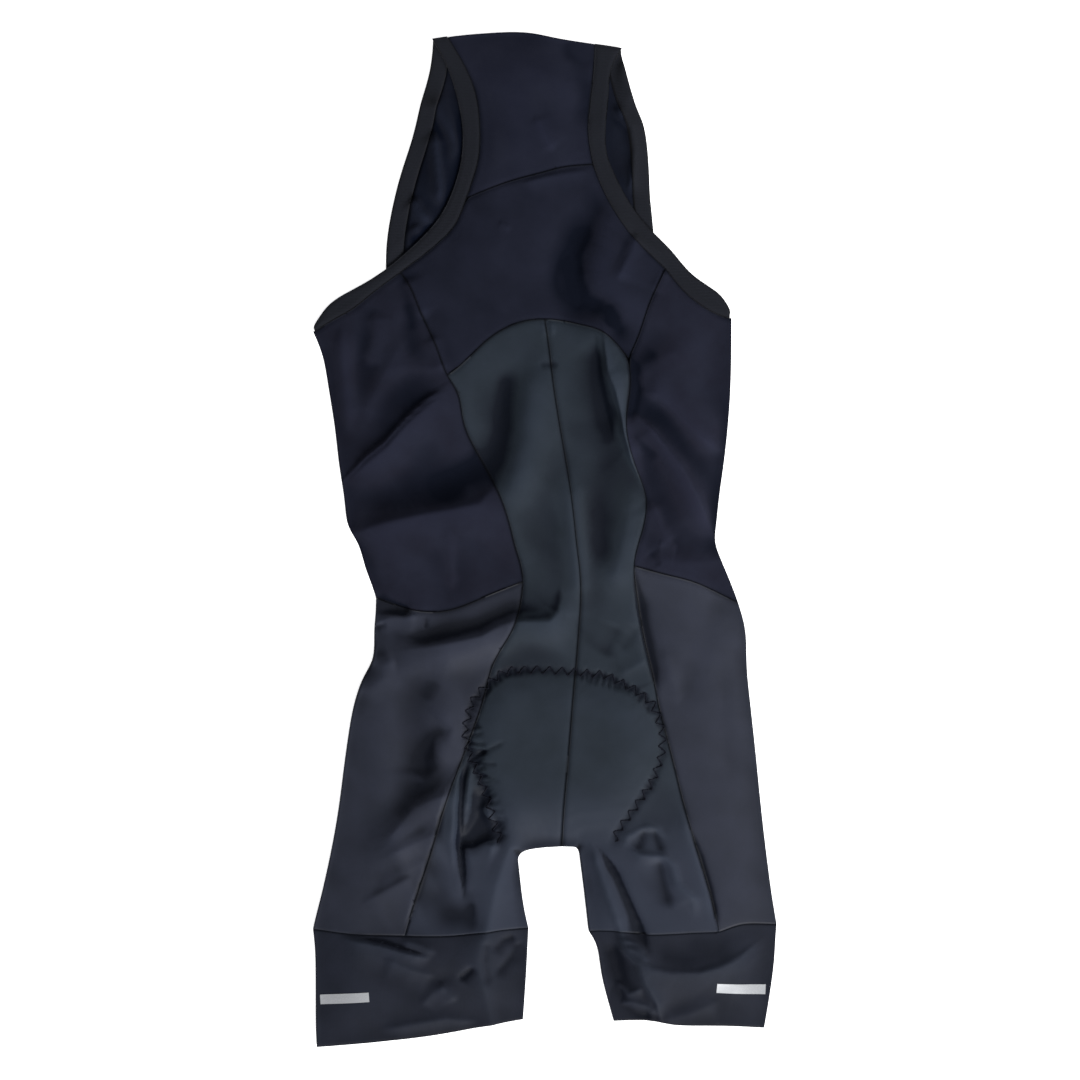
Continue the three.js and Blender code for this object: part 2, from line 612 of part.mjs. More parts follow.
// A gripper band: a flattened tube that closes in a seam under the middle of the leg
function cuffPanel(side) {
  const seam = seamLines[side];
  const rows = mirrorRows(patch({
    top: joined(seam.gripperOuter, seam.gripperInner),
    bottom: seam.hem,
    left: seam.outerCuff,
    right: seam.innerCuff,
  }), side);
  const placed = drawnIn(rows, (r, c, edge) => {
    if (edge === 'top') return halfSeam;
    return edge === 'bottom' ? 0 : foldRadius;
  });
  const cloth = new Cloth(placed, backLayer);
  const closing = cells.innerLeg;
  const [first, last] = [0, rows[0].length - 1];
  const edges = [flatten(cloth, column(cloth, first)), flatten(cloth, column(cloth, last))];
  const under = placed.map((row, r) => (r ? row : row.map(([x]) => [x, gripperY(side, x) - halfSeam])));
  const seamX = (row, shift) => [row[closing][0] + shift, row[closing][1]];
  const fromLeft = under.map((row) => [...row.slice(1, closing), seamX(row, -halfSeam)]);
  const fromRight = under.map((row) => [...reversed(row.slice(closing + 1, last)), seamX(row, halfSeam)]);
  return cloth.foldUnder(edges[0], fromLeft).foldUnder(edges[1], fromRight);
}

function yokePanel() {
  const [left, right] = ['left', 'right'].map((side) => {
    const armhole = armholeLine(side, 'yoke', 'inner', cells.yokeSide);
    return joined(armhole, seamLines[side].princess);
  });
  const arch = joined(seamLines.left.arch, reversed(seamLines.right.arch));
  const rows = patch({ top: strapSeam, bottom: arch, left, right });
  return new Cloth(drawnIn(rows, seamsAllRound), backLayer);
}

// The wide back strap: its top edge turns over the shoulder
function strapPanel() {
  const [left, right] = ['left', 'right'].map((side) => armholeLine(side, 'strap', 'inner', cells.strap));
  const rows = drawnIn(patch({ top: topEdge, bottom: strapSeam, left, right }),
    (r, c, edge) => (edge === 'top' ? foldRadius : halfSeam));
  const cloth = new Cloth(rows, backLayer);
  const edge = flatten(cloth, cloth.grid[0]);
  return cloth.foldUnder(edge, edge.map((index) => {
    const { x, y } = cloth.outer[index];
    return [[x, y - narrowReturn]];
  }));
}

// Elastic binding along an armhole of the back
function backBinding(side) {
  const edge = (name) => joined(...Object.entries(bindingCells).map(
    ([part, count]) => armholeLine(side, part, name, count)));
  const [outer, inner] = [edge('outer'), edge('inner')];
  const rows = outer.map((place, i) => {
    const middle = place.map((value, k) => (value + inner[i][k]) / 2);
    return side === 'left' ? [place, middle, inner[i]] : [inner[i], middle, place];
  });
  const beside = side === 'left' ? 'right' : 'left';
  const ends = { [beside]: halfSeam, bottom: bindingEnd };
  return new Cloth(drawnIn(rows, (r, c, name) => ends[name] ?? 0), bindingLayer);
}

// The seam across the front is straight, from the side panel's edge to the middle
function frontSeamY(side, x) {
  const [edgeX, edgeY] = seamLines[side].outerSide[0];
  const from = edgeX + towardsCentre(side) * (foldRadius + sideReturn);
  return lerp(edgeY, frontSeamLevel, (x - from) / (frontCentreX - from));
}

const frontStrapOuter = (side) => {
  const outer = spaced(frontStraps[side].outer, cells.strap + cells.yokeSide);
  outer.at(-1)[1] = frontSeamY(side, outer.at(-1)[0]);
  return outer;
};
const frontBindingInner = (side) => frontStrapOuter(side).map(([x, y], i, all) => {
  const inX = x + towardsCentre(side) * (i ? frontBindingWidth : shoulderBindingWidth);
  return [inX, i === all.length - 1 ? frontSeamY(side, inX) : y];
});

// Elastic binding along the outer edge of a front strap
function frontBinding(side) {
  const outer = frontStrapOuter(side);
  const inner = frontBindingInner(side);
  const across = [frontStraps[side].shoulder, ...outer.map((place, i) => [place, inner[i]])];
  const rows = mirrorRows(across, side);
  const beside = side === 'left' ? 'right' : 'left';
  const insets = (r, c, name) => (name === beside || name === 'bottom' ? halfSeam : 0);
  return new Cloth(drawnIn(rows, insets), frontLayer);
}

// The front strap with its half of the low bib, down to the seam with the shorts
function frontStrap(side) {
  const outer = frontBindingInner(side);
  const neckCells = outer.length - 2;
  const neck = [...spaced(frontStraps[side].neck, neckCells), [frontCentreX, frontSeamLevel]];
  const row = (a, b) => spaced([a, b], cells.frontStrap);
  const rows = mirrorRows(patch({
    top: row(outer[0], neck[0]), bottom: row(outer.at(-1), neck.at(-1)), left: outer, right: neck,
  }), side);
  return new Cloth(drawnIn(rows, seamsAllRound), frontLayer);
}

// Half of the front of the shorts, between the panels that wrap round the side and the inner leg
function frontPanel(side) {
  const seam = seamLines[side];
  const inward = towardsCentre(side);
  const besideReturn = ([x, y]) => [x + inward * (foldRadius + sideReturn), y];
  const sideEdge = joined(seam.outerSide, seam.outerUpperLeg).map(besideReturn);
  const lowerEdge = seam.outerLowerLeg.map(besideReturn);
  lowerEdge.at(-1)[1] = gripperY(side, lowerEdge.at(-1)[0]);
  const legEdge = seam.innerLeg.map(([x, y]) => [x - inward * narrowTurn, y]);
  legEdge[0][1] += narrowTurn;
  legEdge.at(-1)[1] = gripperY(side, legEdge.at(-1)[0]);
  const crotchEdge = seam.crotch.slice(1).map(([x, y]) => [x, y + narrowTurn]);
  const crotchRow = [...spaced([sideEdge.at(-1), legEdge[0]], cells.front), ...crotchEdge];
  const count = sideEdge.length - 1;
  const [seamTop, seamFoot] = [[frontCentreX, frontSeamLevel], crotchEdge.at(-1)];
  const centre = sideEdge.map((_, i) => seamTop.map((value, k) => lerp(value, seamFoot[k], i / count)));
  const upper = patch({
    top: spaced([sideEdge[0], centre[0]], crotchRow.length - 1),
    bottom: crotchRow,
    left: sideEdge,
    right: centre,
  });
  const hem = spaced([lowerEdge.at(-1), legEdge.at(-1)], cells.front);
  const lower = patch({
    top: crotchRow.slice(0, cells.front + 1),
    bottom: hem.map(([x]) => [x, gripperY(side, x)]),
    left: lowerEdge,
    right: legEdge,
  });
  const blank = crotchEdge.map(() => null);
  const rows = mirrorRows([...upper, ...lower.slice(1).map((row) => [...row, ...blank])], side);
  return new Cloth(drawnIn(rows, seamsAllRound), frontLayer);
}

// The seat pad between the layers: a low cushion that thins out to its edge
function seatPad() {
  const floor = clothThickness + seamGap;
  const layer = (x, y) => {
    const depth = smooth((nearest(padPath, x, y).distance - padInset) / padBevel);
    return [[x, y, floor + padEdgeThickness + padThickness * depth], [x, y, floor]];
  };
  return new Cloth(drawnIn(patch(padEdge), () => padInset), layer);
}

const bibShorts = new THREE.Group();
const material = (slot) => {
  const [color, roughness] = finishes[slot];
  return new THREE.MeshStandardMaterial({ color, roughness, metalness: 0 });
};

function addPiece(name, cloth, slot) {
  const mesh = new THREE.Mesh(cloth.geometry(), material(slot));
  mesh.name = name;
  bibShorts.add(mesh);
}

addPiece('strap_panel', strapPanel(), 'strap');
addPiece('yoke', yokePanel(), 'yoke');
addPiece('seat_pad', seatPad(), 'pad');
for (const side of ['left', 'right']) {
  addPiece(`side_${side}`, sidePanel(side), 'side');
  addPiece(`centre_${side}`, centrePanel(side), 'centre');
  addPiece(`leg_${side}`, legPanel(side), 'leg');
  addPiece(`cuff_${side}`, cuffPanel(side), 'cuff');
  addPiece(`binding_back_${side}`, backBinding(side), 'binding');
  addPiece(`binding_front_${side}`, frontBinding(side), 'binding');
  addPiece(`front_strap_${side}`, frontStrap(side), 'inside');
  addPiece(`front_${side}`, frontPanel(side), 'side');
}

export default bibShorts;
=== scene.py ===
import math

import bpy
import numpy as np
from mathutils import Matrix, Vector
from mathutils.bvhtree import BVHTree
from mathutils.kdtree import KDTree


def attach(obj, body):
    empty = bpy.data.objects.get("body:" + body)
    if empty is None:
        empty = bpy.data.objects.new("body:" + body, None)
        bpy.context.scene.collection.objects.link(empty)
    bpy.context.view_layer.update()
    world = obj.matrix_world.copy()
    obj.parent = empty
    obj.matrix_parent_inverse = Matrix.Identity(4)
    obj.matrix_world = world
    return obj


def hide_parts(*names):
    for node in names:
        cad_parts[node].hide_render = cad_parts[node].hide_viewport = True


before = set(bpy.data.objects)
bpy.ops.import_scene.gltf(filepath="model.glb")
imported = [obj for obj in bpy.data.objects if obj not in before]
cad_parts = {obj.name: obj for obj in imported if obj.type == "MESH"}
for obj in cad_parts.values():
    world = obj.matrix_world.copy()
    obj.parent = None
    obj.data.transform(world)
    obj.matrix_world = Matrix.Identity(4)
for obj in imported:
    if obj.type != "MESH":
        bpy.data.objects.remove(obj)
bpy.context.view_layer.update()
mm = 0.001
print("frame loaded:", len(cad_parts), "nodes")

# Sizes that hold for the whole garment, in millimetres
cloth = {
    "stack": 3.2,  # two layers and the air between them
    "backFrom": 1.5,  # the back layer lies above this height, and follows the creases fully once
    "backFade": 1.4,  # this much higher
    "rimFrom": 1.6,
    "rimFade": 1.6,
    "lowestOuter": 2.3,
    "lowestInner": 1.65,
    "overPadOuter": 1.5,
    "overPadInner": 0.15,
    "seamDip": 0.7,
    "seamReach": 2.4,
    "seamShadeReach": 1.1,
    "cuffTop": -345,  # below this line the seams and hems are bonded, and so flatter
    "cuffFade": 15,
    "bonding": 0.85,
    "ripple": 0.35,
    "calmReach": 5.0,  # unevenness of the solids' grid below this size is evened out
    "mostCalming": 2.5,
    "overlap": 0.22,  # how far neighbouring panels grow into the seam between them
    "grid": {"cell": 1.0, "left": -260, "low": -500, "columns": 520, "rows": 1000},
    "subdivisions": 2,
    "sharpAngle": 64,
}

# The panels: their look, the cut in metres, and whether their upper face gets the finest mesh
panels = {
    "strap_panel": {"look": "strap", "flat": (0.145, 0.165), "area": 0.0195, "fine": True},
    "yoke": {"look": "yoke", "flat": (0.260, 0.205), "area": 0.0290, "fine": True},
    "side_left": {"look": "side", "flat": (0.270, 0.320), "area": 0.0560, "fine": True},
    "side_right": {"look": "side", "flat": (0.180, 0.315), "area": 0.0430, "fine": True},
    "centre_left": {"look": "centre", "flat": (0.175, 0.580), "area": 0.0490, "fine": True},
    "centre_right": {"look": "centre", "flat": (0.175, 0.580), "area": 0.0480, "fine": True},
    "leg_left": {"look": "leg", "flat": (0.270, 0.335), "area": 0.0570, "fine": True},
    "leg_right": {"look": "leg", "flat": (0.205, 0.345), "area": 0.0490, "fine": True},
    "cuff_left": {"look": "cuff", "flat": (0.400, 0.112), "area": 0.0390, "fine": True},
    "cuff_right": {"look": "cuff", "flat": (0.345, 0.100), "area": 0.0290, "fine": True},
    "binding_back_left": {"look": "binding", "flat": (0.016, 0.330), "area": 0.0048, "fine": True},
    "binding_back_right": {"look": "binding", "flat": (0.018, 0.310), "area": 0.0049, "fine": True},
    "binding_front_left": {"look": "binding", "flat": (0.016, 0.275), "area": 0.0044, "fine": True},
    "binding_front_right": {"look": "binding", "flat": (0.016, 0.255), "area": 0.0040, "fine": True},
    "front_strap_left": {"look": "inside", "flat": (0.145, 0.275), "area": 0.0215, "fine": True},
    "front_strap_right": {"look": "inside", "flat": (0.080, 0.268), "area": 0.0125, "fine": True},
    "front_left": {"look": "side", "flat": (0.165, 0.565), "area": 0.0670, "fine": False},
    "front_right": {"look": "side", "flat": (0.140, 0.575), "area": 0.0540, "fine": False},
}

# Creases of the back layer that are finer than the solids' folds. Each row: rise, reach to the left
# and to the right of the line's own direction, how soft its crest is (2 is round, nearer 1 is sharp),
# and the line
strapCreases = {
    "strapCrease": (1.5, 9, 5, 1.4, [(-10, 394), (-2, 376), (9, 359)]),
    "strapShade": (-2.6, 16, 16, 2, [(30, 452), (36, 428), (39, 402)]),
    "strapSeamRidge": (1.6, 2.5, 7, 1.3, [(-24, 330), (10, 338), (43, 343)]),
    "yokeNick": (0.8, 3, 4, 1.5, [(-43, 294), (-31, 289)]),
    "yokePocket": (-3.2, 12, 20, 1.6, [(48, 306), (38, 286), (27, 262), (20, 240), (30, 218)]),
    "yokePocketHigh": (-2.6, 10, 12, 1.8, [(30, 252), (36, 236), (46, 216)]),
    "archPocket": (-3.0, 10, 12, 1.8, [(54, 220), (63, 206), (69, 196)]),
    "yokeLine": (3.0, 14, 5, 1.3, [(88, 288), (78, 262), (66, 238)]),
    "bindingPinch": (1.6, 7, 3, 1.3, [(112, 252), (100, 230)]),
    "princessUpper": (3.0, 8, 4, 1.3, [(-130, 246), (-121, 226), (-110, 202)]),
    "princessLower": (2.8, 4, 8, 1.3, [(-104, 192), (-92, 154)]),
}
sideCreases = {
    "lapEdge": (4.6, 26, 1.7, 1.1,
        [(-82, 150), (-114, 125), (-128, 112), (-147, 90.5), (-164, 77.5), (-196, 48)]),
    "lapLine": (-2.2, 1.5, 1.5, 1.4,
        [(-83, 147), (-114, 122.5), (-128, 109.5), (-147, 88), (-164, 75), (-192, 48)]),
    "sideShade": (-1.5, 10, 10, 2, [(-126, 240), (-124, 180)]),
    "sideCross": (1.8, 9, 14, 1.6, [(-134, 160), (-112, 159), (-92, 154)]),
    "sideDiagonal": (2.6, 18, 10, 1.6, [(-138, 172), (-150, 150), (-164, 124)]),
    "bandCrest": (4.8, 24, 8, 1.3,
        [(-40, 56), (-60, 33), (-88, 27), (-113, 23), (-149, 15), (-200, -2)]),
    "bandHollow": (-2.0, 15, 15, 2, [(-58, 72), (-74, 62), (-92, 50)]),
    "edgeBand": (2.4, 9, 7, 2, [(-189, 205), (-186, 150), (-182, 100)]),
    "edgeFold": (1.8, 11, 7, 2, [(-157, 214), (-156, 188), (-166, 158)]),
    "lowRidge": (1.2, 5, 7, 1.6, [(-88, 14), (-86, -50)]),
    "waistRidge": (2.4, 4, 9, 1.3, [(-162, -81), (-144, -72.5), (-130, -71), (-114, -71)]),
    "waistPocket": (-3.4, 7, 4, 1.6, [(-162, -58), (-142, -64), (-122, -70)]),
    "waistNick": (-1.8, 2, 3, 1.3, [(-160, -82), (-147, -78)]),
    "waistStub": (-1.2, 1.5, 1.5, 1.3, [(-111, -70), (-110, -83)]),
    "crispEdge": (4.6, 4, 18, 1.1,
        [(76, 122), (97, 104), (111, 87), (125, 68), (140, 39), (149, 20), (164, -12)]),
    "upperEdge": (3.0, 16, 8, 1.3, [(88, 137), (106, 134), (126, 113), (145, 95), (170, 78)]),
    "sideDark": (2.8, 13, 24, 1.5, [(76, 152), (96, 163), (118, 172)]),
    "seamShadow": (-2.4, 5, 9, 1.6, [(82, 170), (86, 140), (78, 104)]),
    "hipTriangle": (2.6, 5, 14, 1.3, [(98, 38), (108, 12), (119, -6)]),
    "hipNick": (-1.2, 2, 7, 1.3, [(98, -10), (108, -24)]),
    "hipNickLow": (1.4, 3, 9, 1.3, [(104, -4), (124, -6)]),
    "hipLine": (2.4, 9, 26, 1.5, [(104, -19), (130, -22), (162, -20)]),
}
centreCreases = {
    "centreCut": (-1.8, 15, 9, 1.8, [(-38, 146), (-40, 120), (-45, 96)]),
    "centreRise": (2.8, 18, 14, 2, [(-10, 142), (-14, 96), (-30, 46)]),
    "centreStreak": (3.0, 12, 20, 1.6, [(24, 40), (27, 0), (30, -40)]),
    "centreCross": (-1.1, 3, 3, 1.5, [(-6, 162), (14, 163)]),
    "archPuckerOne": (1.1, 2, 2, 1.5, [(-2, 202), (1, 188)]),
    "archPuckerTwo": (1.1, 2, 2, 1.5, [(6, 203), (8, 190)]),
    "pleatEdge": (5.0, 9, 2.8, 1.15,
        [(53, 206), (58.5, 155), (65.5, 138), (70.5, 117), (73.5, 98), (80, 74), (97, 34)]),
    "pleatShade": (-3.2, 4, 15, 1.6, [(46, 196), (50, 150), (55, 128), (64, 90)]),
    "centreShade": (-1.2, 14, 14, 2, [(54, 66), (50, 28), (56, -10)]),
    "centreHip": (2.6, 14, 14, 1.6, [(80, 32), (74, 0), (66, -30)]),
    "tuckLine": (4.6, 7, 20, 1.15,
        [(-144, -104), (-109, -99.5), (-81, -94.5), (-58, -89.5), (-43, -81), (-29, -76),
         (5, -75.5), (13.5, -66), (15.5, -40)]),
    "tuckShade": (-1.8, 9, 4, 2,
        [(-138, -90), (-110, -90), (-82, -85), (-60, -79), (-30, -65), (4, -64)]),
    "hipShade": (2.2, 12, 8, 1.6, [(-166, -112), (-150, -116), (-138, -112)]),
    "hipHollow": (2.8, 14, 12, 1.6, [(-176, -140), (-162, -138), (-150, -128)]),
    "padTopShade": (-1.3, 8, 12, 1.6, [(70, -78), (62, -94), (54, -110)]),
    "padTopShadeTwo": (-1.1, 5, 9, 1.6, [(88, -78), (80, -92), (70, -104)]),
    "padTopRidge": (1.4, 5, 8, 1.3, [(96, -110), (84, -118), (68, -126)]),
}
leftLegCreases = {
    "legShadeHigh": (1.5, 28, 18, 1.6, [(-90, -118), (-98, -144), (-108, -176)]),
    "legDark": (-3.2, 8, 20, 1.7, [(-84, -172), (-103, -183), (-112, -203), (-110, -224)]),
    "legCrest": (4.0, 26, 10, 1.3, [(-92, -237), (-106, -242), (-120, -249), (-140, -272)]),
    "legShadeLow": (-1.4, 9, 14, 1.8, [(-98, -226), (-114, -234), (-130, -250)]),
    "legDiagonal": (2.0, 26, 6, 1.5, [(-96, -270), (-110, -277), (-124, -283), (-150, -295)]),
    "legDiagonalSoft": (1.0, 22, 7, 1.6, [(-108, -296), (-120, -303), (-134, -311), (-156, -324)]),
    "legDiagonalLow": (1.7, 24, 5, 1.5, [(-122, -313), (-136, -320), (-148, -327), (-172, -340)]),
    "seamCrestLeft": (1.3, 3, 8, 1.4,
        [(-82, -206), (-93, -235), (-99, -258), (-107, -296), (-122, -334), (-133, -366)]),
    "secondLine": (-3.6, 3, 3, 1.3,
        [(-68, -200), (-76, -221), (-78, -250), (-79, -284), (-76, -310), (-74, -340)]),
    "secondCrest": (2.2, 3, 5, 1.5,
        [(-75, -206), (-82, -224), (-84, -252), (-85, -284), (-84, -312)]),
    "thirdCrest": (1.8, 2, 2, 1.3, [(-66, -208), (-70, -222), (-71, -240), (-72, -254)]),
    "hollow": (-5.0, 9, 9, 1.8, [(-60, -240), (-62, -262), (-69, -280)]),
    "hollowFoot": (-4.0, 9, 9, 1.8, [(-48, -269), (-60, -276), (-74, -281)]),
    "hollowRim": (4.0, 2.6, 12, 1.3, [(-80, -288), (-66, -285), (-54, -282), (-40, -286)]),
    "hollowSide": (3.0, 3, 9, 1.3, [(-56, -242), (-49, -260), (-42, -278)]),
    "padPuckerHigh": (-1.0, 2.0, 2.0, 1.4, [(-72, -208), (-62, -201), (-50, -194), (-33, -185)]),
    "padPuckerMiddle": (-0.9, 1.8, 1.8, 1.4, [(-66, -207), (-54, -208), (-42, -208)]),
    "padPuckerLow": (-0.9, 1.8, 1.8, 1.4, [(-64, -216), (-53, -220), (-40, -225)]),
    "inseamCrest": (3.0, 9, 13, 1.3,
        [(-32, -286), (-44, -319), (-52.6, -361), (-57.5, -390), (-56, -415), (-49, -452)]),
    "kneeShade": (-1.6, 15, 16, 2, [(-94, -332), (-84, -346), (-70, -358)]),
    "kneeSpot": (-1.2, 9, 9, 1.8, [(-71, -330), (-68, -344), (-66, -356)]),
}
leftCuffCreases = {
    "cuffDark": (3.4, 1.9, 12, 1.15, [(-194, -369), (-156, -375), (-131, -382), (-104, -388)]),
    "cuffLine": (-1.8, 1.5, 1.5, 1.4, [(-176, -370), (-150, -373.5), (-130, -380), (-106, -387)]),
    "cuffDarkTwo": (2.2, 2.5, 8, 1.3, [(-134, -371), (-116, -376), (-100, -384)]),
    "cuffSoft": (2.0, 4, 11, 1.4, [(-150, -388), (-125, -399), (-100, -406)]),
    "cuffPocket": (-1.0, 9, 9, 1.8, [(-108, -407), (-100, -410), (-92, -408)]),
    "cuffSpot": (-2.8, 3, 5, 1.4, [(-80, -410), (-72, -403), (-64, -396)]),
    "cuffTentLeft": (1.8, 3.5, 7, 1.3, [(-116, -434), (-103, -420), (-93, -412)]),
    "cuffTentRight": (1.8, 3.5, 7, 1.3, [(-98, -413), (-90, -418), (-82, -430)]),
    "cuffHemLine": (2.2, 4, 12, 1.3, [(-156, -457), (-120, -450), (-92, -445), (-58, -449)]),
    "leafLeft": (-2.4, 3, 4, 1.3, [(-52, -368), (-56, -392), (-52, -418)]),
    "leafTop": (-2.2, 4, 7, 1.3, [(-50, -384), (-38, -373), (-26, -369)]),
    "leafRight": (-2.0, 4, 7, 1.4, [(-48, -408), (-32, -390), (-20, -374)]),
}
rightLegCreases = {
    "seamGroove": (-3.8, 9, 3, 1.4, [(84, -36), (91, -80), (97, -108), (106, -144)]),
    "seamSoft": (0.8, 7, 7, 1.8, [(110, -100), (118, -128), (124, -156)]),
    "edgeShadeHigh": (-1.6, 16, 18, 2, [(158, -64), (144, -100), (134, -136)]),
    "edgeShade": (-0.8, 10, 16, 2, [(164, -128), (164, -170), (170, -214)]),
    "kneeLine": (-4.6, 2.6, 8, 1.1, [(44, -278), (67, -311), (77, -333), (87, -356), (100, -390)]),
    "kneeCrest": (3.2, 9, 3.4, 1.2, [(42, -280), (57, -326), (74, -372)]),
    "loopTop": (2.4, 3, 4, 1.2,
        [(72, -290), (77, -275), (87, -270), (97, -266), (104, -269), (115, -280)]),
    "loopFoot": (3.0, 3, 7, 1.2,
        [(74, -286), (90, -292.5), (112, -294), (119, -301), (124, -319), (139, -333),
         (143, -356)]),
    "pocketLeft": (-1.6, 4, 6, 1.4, [(93, -266), (90, -280), (85, -290)]),
    "pocketRight": (-1.6, 4, 5, 1.4, [(101, -266), (105, -280), (110, -291)]),
    "streak": (-1.8, 6, 9, 1.4, [(105, -290), (110, -316), (118, -346)]),
    "seamDarkLow": (-2.6, 3, 3, 1.3, [(130, -262), (145, -294), (154, -326), (162, -362)]),
    "seamCrestLow": (2.2, 3, 9, 1.3,
        [(124, -244), (134, -272), (142, -295), (151, -326), (159, -362)]),
}
rightCuffCreases = {
    "cuffSeamShade": (-0.8, 10, 12, 2, [(140, -372), (166, -368), (190, -364)]),
    "smileShade": (-1.3, 12, 9, 1.8, [(112, -386), (135, -388), (162, -384)]),
    "smileEdge": (2.6, 3, 12, 1.2,
        [(78, -385), (100, -397), (117, -401), (144, -401), (162, -396), (179, -388), (208, -367)]),
    "arcOne": (1.8, 2, 3, 1.3, [(70, -371), (84, -374), (95, -385)]),
    "arcTwo": (1.8, 2, 3, 1.3, [(72, -377), (86, -381), (98, -391)]),
    "turnEdge": (4.4, 10, 3, 1.15,
        [(67, -350), (73, -381), (86, -393), (92, -410), (104, -430), (110, -456)]),
    "turnShade": (-3.0, 9, 10, 1.6, [(66, -384), (72, -413), (70, -438)]),
    "crumpleOne": (2.4, 3, 4, 1.2, [(66, -410), (78, -423), (92, -416)]),
    "crumpleTwo": (2.4, 3, 4, 1.2, [(62, -434), (80, -430), (96, -434), (108, -444)]),
    "crumpleThree": (-2.2, 3, 4, 1.2, [(68, -438), (84, -442), (102, -444)]),
    "hemSoft": (1.8, 7, 12, 1.4, [(106, -448), (134, -442), (164, -428)]),
}
creases = {
    **strapCreases,
    **sideCreases,
    **centreCreases,
    **leftLegCreases,
    **leftCuffCreases,
    **rightLegCreases,
    **rightCuffCreases,
}
